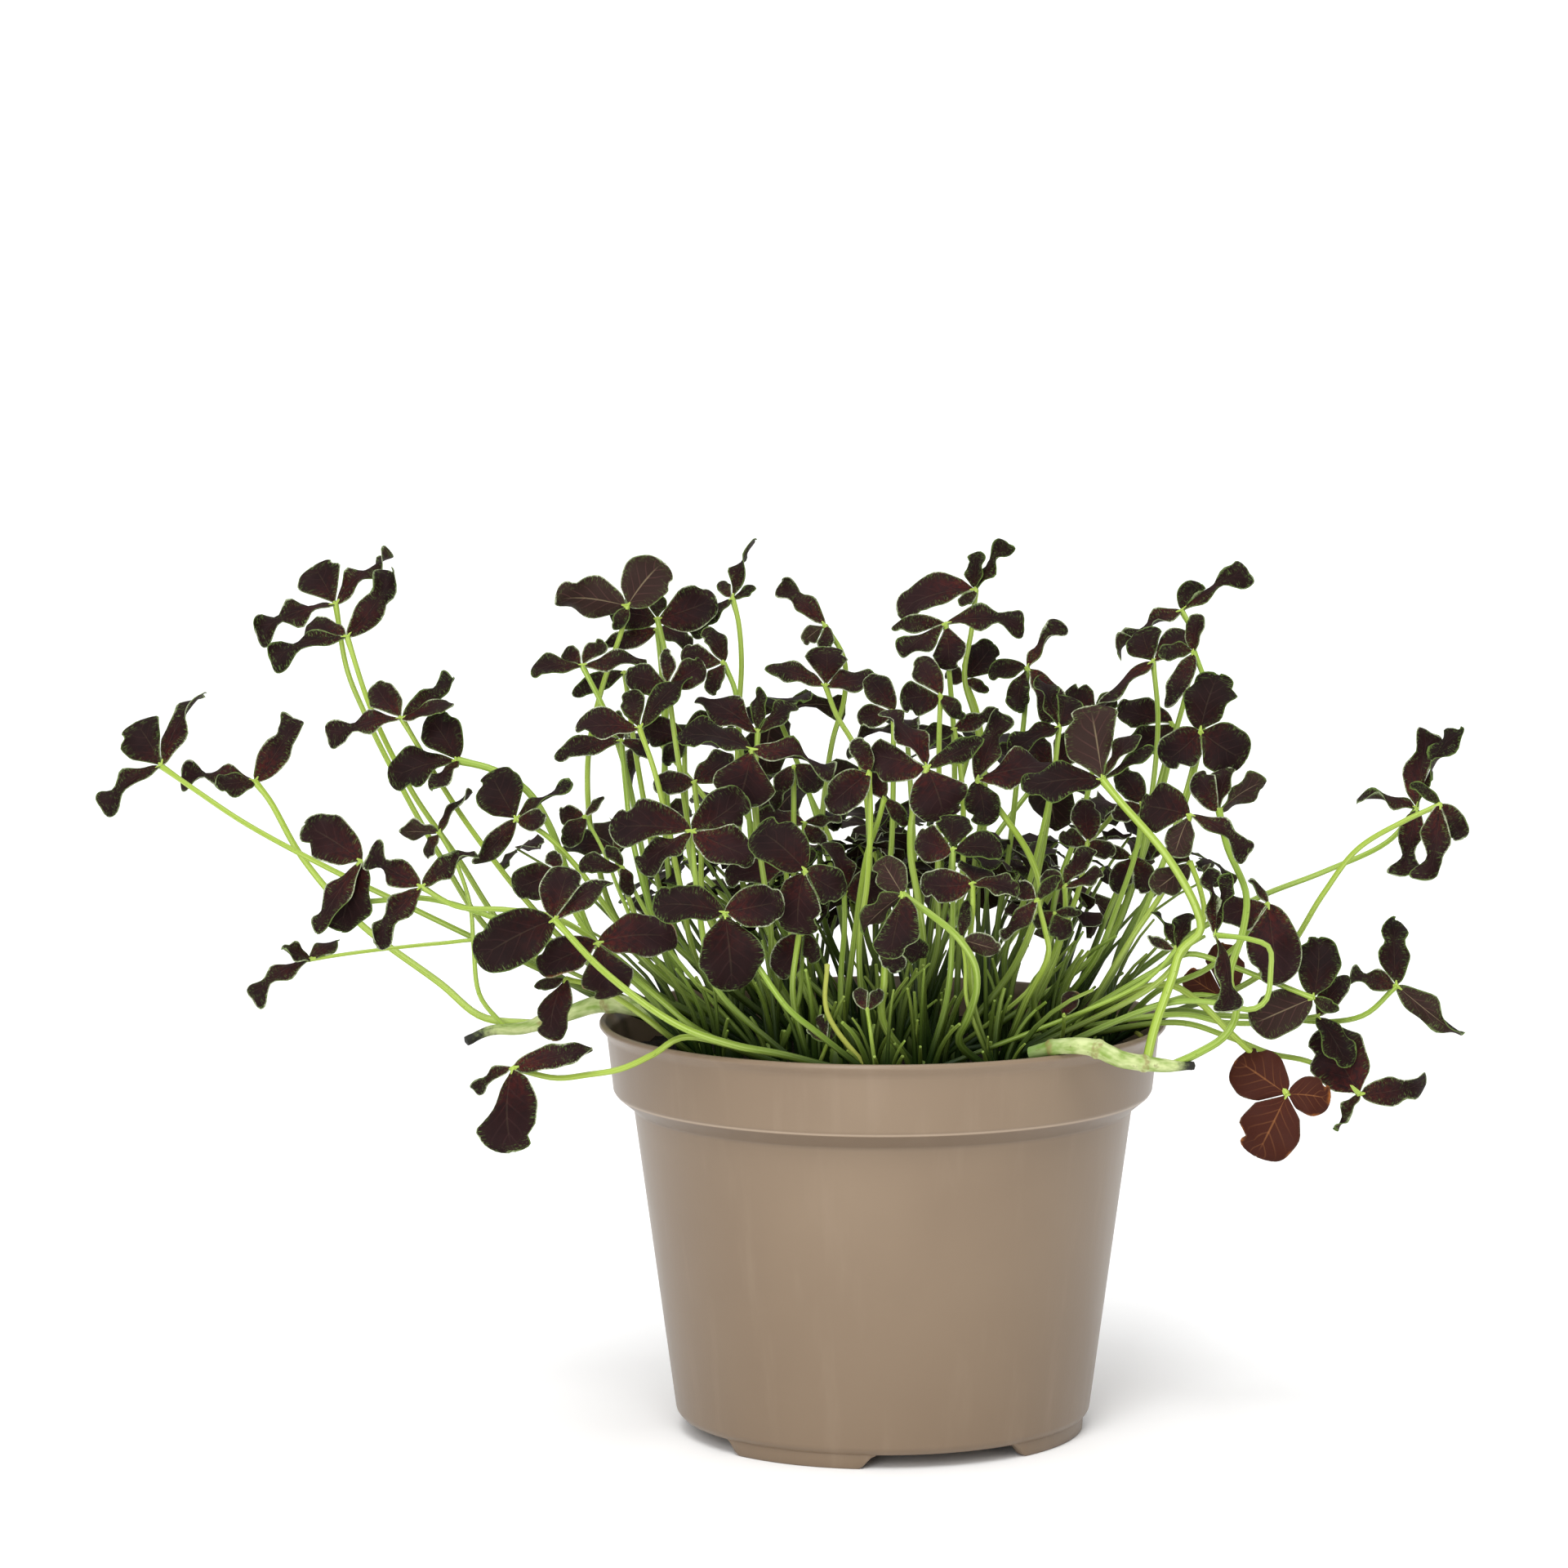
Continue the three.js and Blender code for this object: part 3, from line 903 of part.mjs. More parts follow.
// A leaf: the rings of its stalk, which end in a flat hub, its leaflets' rims, and the stalk and each
// leaflet as a solid of its own
function leafPieces(leaf, root, back) {
  const joint = seenPoint(...leaf.at, back);
  const points = leaf.hidden ? hiddenStalk(root, joint) : seenStalk(leaf, root, back);
  const curve = new THREE.CatmullRomCurve3(points);
  const steps = Math.max(3, Math.min(STALK_STEPS, points.length));
  const laid = leaf.hidden
    ? hiddenBlades(joint, vector(joint.x, joint.y, 0).normalize(), randomSource(leaf.seed))
    : leaf.blades.map((blade) => seenBlade(joint, back, Boolean(leaf.far), blade));
  laid.forEach((blade) => {
    blade.others = laid.filter((other) => other !== blade).map(({ axis }) => axis);
  });
  const frames = curve.computeFrenetFrames(steps, false);
  const hub = hubFrame(frames.tangents[steps], frames.normals[steps], laid);
  const sides = hubSides(laid.map(({ axis }) => Math.atan2(axis.dot(hub.ahead), axis.dot(hub.right))));
  const corners = hubCorners(sides);
  const width = leaf.wide ?? STALK_WIDTH;
  const rings = stemRings(curve, (share) => width * (STALK_SWELL - STALK_TAPER * share), corners, steps);
  rings.pop();
  const [low, high] = [-0.5, 0.5].map((level) =>
    corners.map((corner) =>
      joint
        .clone()
        .addScaledVector(hub.right, Math.cos(corner) * width * HUB_SHARE)
        .addScaledVector(hub.ahead, Math.sin(corner) * width * HUB_SHARE)
        .addScaledVector(hub.up, level * BLADE_THICKNESS),
    ),
  );
  rings.push(low, high);
  const shells = sides.flatMap(({ blade }, side) => {
    if (blade === undefined) return [];
    const { axis, up } = laid[blade];
    const rise = axis.dot(hub.up);
    const outward = axis.clone().addScaledVector(hub.up, -rise).normalize();
    const level = hub.up.clone().multiplyScalar(axis.dot(outward)).addScaledVector(outward, -rise);
    return [{ side, rims: bladeRims(laid[blade], up.dot(level) < 0) }];
  });
  const blades = shells.map((shell) => bladeAlone(low, high, joint, shell, 0));
  const sunk = shells.map((shell) => bladeAlone(low, high, joint, shell, BLADE_SINK));
  return { rings, shells, stalk: loft(rings), blades, sunk };
}

// A leaflet closed at the hub's side, or sunk into the hub by a share of the way to its middle
function bladeAlone(low, high, middle, { side, rims }, sink) {
  const right = (side + low.length - 1) % low.length;
  const ends = [high[right], high[side], low[right], low[side]];
  const points = ends.map((corner) => corner.clone().lerp(middle, sink));
  const triangles = bladeFaces(points, { rightAbove: 0, leftAbove: 1, rightBelow: 2, leftBelow: 3 }, rims);
  triangles.push(0, 1, 3, 0, 3, 2);
  return solidOf(geometryFrom(points, triangles));
}

// A stalk with the chosen leaflets growing straight from its hub's sides, as one closed surface
function grownLeaf(rings, shells) {
  const count = rings[0].length;
  const points = rings.flat();
  const top = points.length - count;
  const bottom = top - count;
  const rimsOn = new Map(shells.map(({ side, rims }) => [side, rims]));
  const triangles = [];
  for (let side = 0; side < count; side += 1) {
    const right = (side + count - 1) % count;
    for (let low = 0; low < bottom; low += count) {
      const [a, b] = [low + right, low + side];
      triangles.push(a, b, b + count, a, b + count, a + count);
    }
    const [rightAbove, leftAbove] = [top + right, top + side];
    const [rightBelow, leftBelow] = [bottom + right, bottom + side];
    if (rimsOn.has(side)) {
      const hub = { rightAbove, leftAbove, rightBelow, leftBelow };
      triangles.push(...bladeFaces(points, hub, rimsOn.get(side)));
    } else {
      triangles.push(rightBelow, leftBelow, leftAbove, rightBelow, leftAbove, rightAbove);
    }
  }
  for (let k = 1; k + 1 < count; k += 1) triangles.push(0, k + 1, k, top, top + k, top + k + 1);
  return solidOf(geometryFrom(points, triangles));
}

// The whole leaf: each leaflet grows from the hub as long as the surface doesn't run through itself,
// which a larger volume than that of the joined pieces tells, and the others are joined to it
function wholeLeaf({ rings, shells, stalk, blades, sunk }) {
  let leaf = stalk;
  const grown = [];
  const joined = [];
  shells.forEach((shell, k) => {
    const tried = grownLeaf(rings, [...grown, shell]);
    if (Math.abs(tried.volume() - leaf.add(blades[k]).volume()) < CROSSING_ALLOWED) {
      grown.push(shell);
      leaf = tried;
    } else joined.push(sunk[k]);
  });
  return joined.reduce((solid, blade) => solid.add(blade), leaf);
}

const common = (a, b) => a.intersect(b).volume();
const boxOf = (solid) => {
  const { min, max } = solid.boundingBox();
  return new THREE.Box3(vector(...min), vector(...max));
};

// Creeping stems, each a tapering tube with a few swollen joints
const stolons = Object.entries(STOLONS).map(([name, stations]) => {
  const points = stations.map(([column, row, back]) => seenPoint(column, row, back));
  const curve = new THREE.CatmullRomCurve3(points);
  const widthAt = (share) => {
    const place = share * (stations.length - 1);
    const k = Math.min(stations.length - 2, Math.floor(place));
    return stations[k][3] + (stations[k + 1][3] - stations[k][3]) * (place - k);
  };
  const corners = Array.from({ length: STOLON_SIDES }, (_, k) => (2 * Math.PI * k) / STOLON_SIDES);
  return { name, curve, solid: loft(stemRings(curve, widthAt, corners, STOLON_STEPS)) };
});

const crowns = crownPlaces();
const pot = potSolid();
const stubs = crowns.map(({ x, y }) => prism(x, y, STUB_BOTTOM, STUB_TOP, STUB_RADIUS, STUB_SIDES));
const wholeSoil = soilSolid([]);

// Plants: each crown or creeping stem, with the solids placed on it so far
const plants = new Map();
crowns.forEach((crown, k) => {
  const name = `crown_${String(k + 1).padStart(2, "0")}`;
  plants.set(name, { name, crown, body: stubs[k], solids: [] });
});
stolons.forEach(({ name, curve, solid }) => plants.set(name, { name, curve, body: solid, solids: [] }));

const obstacles = [];
const addObstacle = (plant, kind, solid) => obstacles.push({ plant, kind, solid, box: boxOf(solid) });
plants.forEach((plant) => addObstacle(plant, "body", plant.body));
addObstacle(null, "body", pot);
addObstacle(null, "body", wholeSoil);

// How much a leaf crosses what is already there. A leaf may meet its own plant's stalks and body,
// but its leaflets stay clear of them too
function crossing(plant, { stalk, blades }) {
  let total = 0;
  const test = (solid, isBlade) => {
    const box = boxOf(solid);
    for (const other of obstacles) {
      const own = other.plant === plant;
      if (own && !isBlade && other.kind !== "blade") continue;
      if (!box.intersectsBox(other.box)) continue;
      total += common(solid, other.solid);
    }
  };
  test(stalk, false);
  blades.forEach((blade) => test(blade, true));
  return total;
}

// The plants that a leaf may grow from, nearest first
function candidates(leaf) {
  if (typeof leaf.root[0] === "string") return [plants.get(leaf.root[0])];
  const [x, y] = leaf.root;
  return [...plants.values()]
    .filter((plant) => plant.crown && plant.crown.leaves < LEAVES_PER_CROWN)
    .sort((a, b) => Math.hypot(a.crown.x - x, a.crown.y - y) - Math.hypot(b.crown.x - x, b.crown.y - y))
    .slice(0, CROWN_CHOICES);
}

// Where a leaf's stalk starts: inside its crown's stub, on the side it leans to, or on its creeping stem
function rootOf(leaf, plant) {
  if (!plant.crown) return plant.curve.getPointAt(leaf.root[1]);
  const { x, y } = plant.crown;
  const joint = seenPoint(...leaf.at, leaf.back);
  const aside = vector(joint.x - x, joint.y - y, 0).setLength(ROOT_ASIDE);
  return vector(x + aside.x, y + aside.y, STUB_TOP - ROOT_DEPTH);
}

// Places one leaf: the first place in turn where it crosses nothing, or else the one that crosses least
function placeLeaf(leaf) {
  let best = null;
  for (const plant of candidates(leaf)) {
    for (const step of DEPTH_STEPS) {
      const pieces = leafPieces(leaf, rootOf(leaf, plant), leaf.back + step);
      const total = crossing(plant, pieces);
      if (!best || total < best.total) best = { plant, pieces, total };
      if (total <= CROSSING_ALLOWED) break;
    }
    if (best.total <= CROSSING_ALLOWED) break;
  }
  const { plant, pieces } = best;
  addObstacle(plant, "stalk", pieces.stalk);
  pieces.blades.forEach((blade) => addObstacle(plant, "blade", blade));
  plant.solids.push(wholeLeaf(pieces));
  if (plant.crown) plant.crown.leaves += 1;
}

const hiddenLeaves = HIDDEN_LEAVES.map(([column, row, back], k) => {
  const joint = seenPoint(column, row, back);
  const root = [joint.x * HIDDEN_ROOT[0], joint.y * HIDDEN_ROOT[1]];
  return { at: [column, row], back, root, hidden: true, seed: HIDDEN_SEED + k };
});
[...LEAVES, ...hiddenLeaves].forEach(placeLeaf);

// Materials
const plastic = new THREE.MeshStandardMaterial({ color: 0x9a8672, roughness: 0.55, metalness: 0 });
const earth = new THREE.MeshStandardMaterial({ color: 0x1b1511, roughness: 1, metalness: 0 });
const foliage = new THREE.MeshStandardMaterial({ color: 0x2e1c1c, roughness: 0.7, metalness: 0 });
const creeper = new THREE.MeshStandardMaterial({ color: 0xb9cf8a, roughness: 0.6, metalness: 0 });

function meshOf(name, solid, material) {
  const mesh = new THREE.Mesh(geometryOf(solid), material);
  mesh.name = name;
  return mesh;
}

const growing = [...plants.values()].filter((plant) => plant.solids.length > 0);
const model = new THREE.Group();
model.add(meshOf("pot", pot, plastic));
const grownCrowns = growing.flatMap(({ crown }) => crown ?? []);
model.add(meshOf("soil", soilSolid(grownCrowns), earth));
growing.forEach((plant) => {
  const whole = wasm.Manifold.union([plant.body, ...plant.solids]);
  const bodies = whole.decompose().sort((a, b) => b.volume() - a.volume());
  model.add(meshOf(plant.name, bodies[0], plant.crown ? foliage : creeper));
});

// The whole stands with its box's lower middle at the origin
const box = new THREE.Box3().setFromObject(model);
model.position.set(-(box.min.x + box.max.x) / 2, -(box.min.y + box.max.y) / 2, -box.min.z);
const part = new THREE.Group();
part.add(model);

export default part;
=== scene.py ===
"""A potted white clover: a plastic grower's pot, its soil, two creeping stems and a tuft of dark leaves.

The plant is laid out in millimetres from the pot's axis and the floor, and set down in metres where the
frame has the pot.
"""

import bpy
import numpy as np
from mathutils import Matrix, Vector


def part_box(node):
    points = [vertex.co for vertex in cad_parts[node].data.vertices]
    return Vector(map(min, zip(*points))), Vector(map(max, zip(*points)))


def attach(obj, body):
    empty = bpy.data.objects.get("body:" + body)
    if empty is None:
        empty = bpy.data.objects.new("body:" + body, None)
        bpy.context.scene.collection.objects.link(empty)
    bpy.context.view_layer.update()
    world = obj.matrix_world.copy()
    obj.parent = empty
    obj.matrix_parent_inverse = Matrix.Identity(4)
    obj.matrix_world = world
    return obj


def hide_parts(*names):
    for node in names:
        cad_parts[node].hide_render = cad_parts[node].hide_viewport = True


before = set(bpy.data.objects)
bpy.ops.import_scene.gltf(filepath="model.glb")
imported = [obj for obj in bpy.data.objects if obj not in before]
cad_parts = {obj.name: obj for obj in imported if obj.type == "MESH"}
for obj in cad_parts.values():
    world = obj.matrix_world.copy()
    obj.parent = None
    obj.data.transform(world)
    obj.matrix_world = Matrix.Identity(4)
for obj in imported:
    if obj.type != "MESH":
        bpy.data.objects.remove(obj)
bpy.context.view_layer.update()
pot_low, pot_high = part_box("pot")

MM = 0.001
POT_AXIS = np.array([(pot_low.x + pot_high.x) / 2, (pot_low.y + pot_high.y) / 2, 0.0])

# Pot, in millimetres
POT_SIDES = 160
ARC_STEPS = 6
LIP_RADIUS = 60
POT_HEIGHT = 87.5
LIP_HEIGHT = 1.3
LIP_WIDTH = 1.3
LIP_EDGE = 0.5
LIP_FLARE = 1.4
BAND_TOP_RADIUS = 58.3
BAND_BOTTOM_RADIUS = 57.0
BAND_HEIGHT = 15.3
BAND_EDGE = 0.5
BAND_EDGE_RISE = 0.8
SHELF_DROP = 3.1
BODY_TOP_RADIUS = 52.7
BODY_BOTTOM_RADIUS = 43.9
BASE_EDGE = 1.2
WALL = 1.1
INNER_SHELF_RISE = 1.5
FLOOR_THICKNESS = 1.8
FOOT_HEIGHT = 3
LIP_BOTTOM = POT_HEIGHT - LIP_HEIGHT
BAND_BOTTOM = POT_HEIGHT - BAND_HEIGHT
SHELF = BAND_BOTTOM - SHELF_DROP
FLOOR_TOP = FOOT_HEIGHT + FLOOR_THICKNESS

# Feet and drain holes, in millimetres and degrees
FOOT_OUTER_RADIUS = 42.6
FOOT_WIDTH = 2.4
FOOT_BEVEL = 0.35
FOOT_ROOT = 0.3
FOOT_END = 0.2
FOOT_ARC = 48
FOOT_RAMP = 5
FOOT_STATIONS = 41
FIRST_FOOT = -26
FOOT_COUNT = 4
DRAIN_RADIUS = 4.5
DRAIN_CIRCLE = 27
DRAIN_COUNT = 4
DRAIN_SIDES = 32
DRAIN_PAST = 1

# Soil, in millimetres: its rings stand closer together towards the rim
SOIL_GAP = 0.35
SOIL_TOP = 79.4
SOIL_RINGS = 59
SOIL_SIDES = 150
SOIL_SPREAD = 0.7
SOIL_FOOT = 0.24
SOIL_LUMP = 0.7
CRUMB_SIZE = 0.35
CRUMB_SEED = 3

# Crowns and where stalks leave them, in millimetres and degrees
STUB_TOP = 83
CROWN_COUNT = 37
CROWN_SPREAD = 47.5
CROWN_TURN = 137.5
CROWN_START = 0.3
ROOT_ASIDE = 1.2
ROOT_DEPTH = 0.7
STALK_WIDTH = 1.7

# The front view that the plant is laid out in: columns and rows of a square, millimetres and radians
VIEW_SIDE = 1920
VIEW_DISTANCE = 1334
VIEW_HEIGHT = 301
VIEW_TILT = 0.122
VIEW_FOCAL = 7820
AXIS_COLUMN = 1081
CENTRE_ROW = 960

# Outlines of a leaflet: its half width at a share t of its length goes as t^base (1 - t)^tip. ratio: its
# least width over its length; waist: how deep it is pinched before the tip; arch: its rise over its
# length; twist: how far it turns about its rib, in degrees. A leaf is tilted: a tip is further back than
# the joint by a share of its height over it
OUTLINES = {
    "round": {"ratio": 0.84, "base": 0.58, "tip": 0.38, "waist": 0, "arch": 0.07, "twist": 0},
    "oval": {"ratio": 0.62, "base": 0.62, "tip": 0.42, "waist": 0, "arch": 0.07, "twist": 8},
    "lance": {"ratio": 0.36, "base": 0.7, "tip": 0.55, "waist": 0, "arch": 0.06, "twist": 18},
    "waist": {"ratio": 0.44, "base": 0.56, "tip": 0.18, "waist": 0.52, "arch": 0.08, "twist": 42},
}
WAIST_PLACE = 0.66
WAIST_REACH = 0.15
TWIST_START = 0.3
LEAF_TILT = 0.45

# The solids' leaflets, and the steps back (negative forward) that a leaf's depth is tried at, in millimetres
SOLID_BLADE_THICKNESS = 0.68
DEPTH_STEPS = [0, 3, -3, 6, -6, 9, -9, 12, -12, 15, -15, 18, -18, 22, -22]

# Creeping stems, from the soil outwards: column, row, millimetres behind the pot's axis, width
STOLONS = {
    "stolon_left": [(846, 1262, -22, 3.4), (800, 1240, -14, 3.8), (737, 1229, -3, 4.4), (690, 1243, 0, 4.2),
                    (640, 1259, -3, 3.4), (600, 1262, -6, 2.8), (571, 1275, -8, 2.0)],
    "stolon_right": [(1262, 1290, -44, 3.2), (1300, 1281, -47, 3.6), (1339, 1283, -50, 4.0),
                     (1373, 1297, -51, 4.2), (1402, 1302, -50, 3.8), (1430, 1305, -49, 3.2),
                     (1462, 1305, -48, 1.6)],
}

# A dead stalk that lies behind the right creeping stem: column, row, millimetres behind the pot's axis
FALLEN_STALK = [(1348, 1252, 4), (1372, 1254, 0), (1388, 1262, -4), (1398, 1269, -6)]

# Leaves hidden from the front: column and row of the joint, and how far behind the pot's axis it is. Their
# stalks pass points at shares of the way across, back and up
HIDDEN_LEAVES = [
    (770, 1000, 60), (800, 900, 46), (835, 1090, 84), (905, 980, 88), (950, 870, 46), (985, 960, 66),
    (1070, 1000, 78), (1110, 890, 48), (1130, 1080, 82), (1190, 910, 46), (1230, 1050, 88), (1275, 950, 54),
    (1300, 1080, 72), (1370, 990, 44),
]
HIDDEN_SEED = 20
HIDDEN_RISE = np.array([[0, 0, 0], [0.2, 0.2, 0.38], [0.55, 0.55, 0.72], [1, 1, 1]])

# Leaflets that have no place in the view: their usual length in millimetres, and shares of it, of a turn,
# of the leaves that have four leaflets and of the leaflets that are waisted
FREE_BLADE = 15.5
FREE_BLADE_SPREAD = (0.8, 1.15)
FREE_BLADE_DROOP = (0.15, 0.5)
FREE_BLADE_SHIFT = 0.3
FREE_BLADE_WIDENING = 1.15
FREE_LEAF_LEAN = (0.35, 0.85)
FOUR_BLADE_SHARE = 0.4
WAISTED_SHARE = 0.35

# Leaflet surfaces: cells along and across, thickness and gap in millimetres, twists in degrees, waves in
# radians, and shares of the length or the width
BLADE_GRID = (20, 10)
HIDDEN_GRID = (9, 6)
YOUNG_GRID = (6, 4)
BLADE_THICKNESS = 0.3
BLADE_RIM = 0.75
BLADE_RIM_POWER = 6
BLADE_GAP = 0.1
BLADE_ENDS = (0.05, 0.978)
LEAST_SHARE = 0.2
DEEP_BITE = (0.15, 0.42)
SHALLOW_BITE = (0, 0.1)
WAISTED_BITE = 0.5
BITE_PLACE = (0.74, 0.88)
BITE_REACH = 0.075
EDGE_WAVE = 0.035
EDGE_BEATS = (8, 14)
TIP_TWIST = (-12, 22)
WAISTED_TIP_TWIST = (5, 36)
BOW = (-0.05, 0.05)
FOLD = (-0.05, 0.33)
FOLD_ROUND = 0.1
CURL = (-0.1, 0.06)
SWING = (0.045, 0.11)
WAISTED_SWING = 1.3
SWING_BEATS = (7, 13)
FULL_PHASE = 6
TIP_MARGIN = 1.1
TIP_TWIST_SPAN = (0.55, 1)
SWING_SPAN = (0, 0.5)

# Stalks, in millimetres and shares of the width that the solids have
STALK_SIDES = 9
STALK_STEP = 1.6
STALK_LEAST_STEPS = 10
STALK_SHARE = 0.72
STALK_FOOT = 1.15
STALK_TAPER = 0.25
STALK_FLARE = 0.2
STALK_FLARE_START = 0.96
TUBE_END = 0.4
RING_START = (0.05, 1.0, 0.12)
CURVE_POINTS = 25
STEM_STATIONS = 200
LEAF_SEEDS = 9973
BLADE_STALK_REACH = 0.08
BLADE_STALK_RADII = (0.5, 0.25)
BLADE_STALK_STATIONS = 4
SHOOT_SIDES = 6

# Crowns and their side shoots, in millimetres, radians and shares
KNOB_HEIGHTS = (76, 79, 81, 83, 84.2)
KNOB_RADII = (2.4, 2.5, 2.3, 1.8, 1.1)
KNOB_SIDES = 12
SHOOTS_PER_CROWN = 7
SHOOT_RING = 2.2
SHOOT_DEPTH = 0.5
SHOOT_LEAN = (0.02, 0.4)
SHOOT_OUTWARD = 0.45
SHOOT_SHORTEST = 12
SHOOT_LONGEST = 40
REAR_SHOOT_LONGEST = 62
REAR_START = 2
SHOOT_WIDTH = (1.0, 1.7)
SHOOT_TAPER = 0.45
SHOOT_STATIONS = 7
SHOOT_DROOP = 0.28
SHOOT_BEND = 1.6
YOUNG_STALK = 36
YOUNG_SIZE = (0.4, 0.68)
YOUNG_MARGIN = 1.7
YOUNG_SEEDS = 9999

# Creeping stems: stations between two joints, and shares of the width and of that spacing. The fallen
# stalk, in millimetres
STEM_STEPS = 60
STEM_SIDES = 16
STEM_SHARE = 0.88
JOINT_SPACING = 1.7
JOINT_SWELL = 0.22
JOINT_REACH = 0.07
JOINT_BEATS = np.pi * (len(STOLONS["stolon_left"]) - 1) / JOINT_SPACING
FALLEN_STEPS = 12
FALLEN_RADII = (0.7, 0.5)

# Where on a stalk's run of colours, from its dark foot at 0 to its light top at 1, a piece starts and ends.
# The dark foot is deep green with painted shade for the tuft; stalks on creeping stems start past most of it
WHOLE_STALK = (0, 1)
STEM_STALK_COLOURS = (0.6, 1)
BLADE_STALK_COLOURS = (0.9, 0.9)
# Painted shade: the crowns' knobs and side shoots, low in the tuft, take the run's dark foot
SHADED_KNOB_COLOURS = (0, 0.3)
SHADED_SHOOT_COLOURS = (0, 0.4)

# A stalk's tone: from 0 to 1 as it gets a deeper green, and below zero a dull yellow
BLADE_STALK_TONE = 0.3
KNOB_TONE = 0.8
YELLOW = -1

# Floor, in millimetres from the pot's axis
FLOOR_SIDE = 90000
FLOOR_FRONT = -4000
FLOOR_BACK = 900000

# World: its strength at the horizon, at the zenith and in a bright band at the floor's far edge, and the
# heights between which the band fades out
HORIZON_STRENGTH = 0.12
ZENITH_STRENGTH = 1.42
BAND_STRENGTH = 1.3
BAND_FADE = (0.01, 0.02)

# Lights, in metres and degrees, and the camera: its sensor in millimetres and how far it sees in metres
SUN_STRENGTH = 1.3
SUN_WIDTH = 25
SUN_TURN = (36, -4, 0)
FRONT_LIGHT_POWER = 9.0
FRONT_LIGHT_SIZE = (0.5, 0.7)
FRONT_LIGHT_PLACE = (-0.3, -1.3, 0.4)
FRONT_LIGHT_TURN = (78, 0, -13)
SENSOR_WIDTH = 36
SIGHT = 2000

# Faces that meet at more than this many degrees keep a sharp edge
SHARP_ANGLE = 55


def seen_leaf(column, row, back, stem, *blades, **more):
    """A leaf seen from the front: the column and row of its joint, how far that is behind the pot's axis,
    the points that its stalk passes from the joint down, and its leaflets. A leaflet has its tip's column
    and row, its seen width, its outline (oval where none is said), how much of its length it leans back
    (negative forward, and 0 or nothing for the leaf's own tilt), and "under" if its underside shows. More:
    on, the creeping stem that the leaf grows from and the share of its length; wide, the stalk's width;
    and dry, how far it has withered, from 0 to 1."""
    usual = ("oval", 0)
    full = [blade + usual[len(blade) - 3:] for blade in blades]
    return {"at": (column, row), "back": back, "stem": stem, "blades": full, **more}


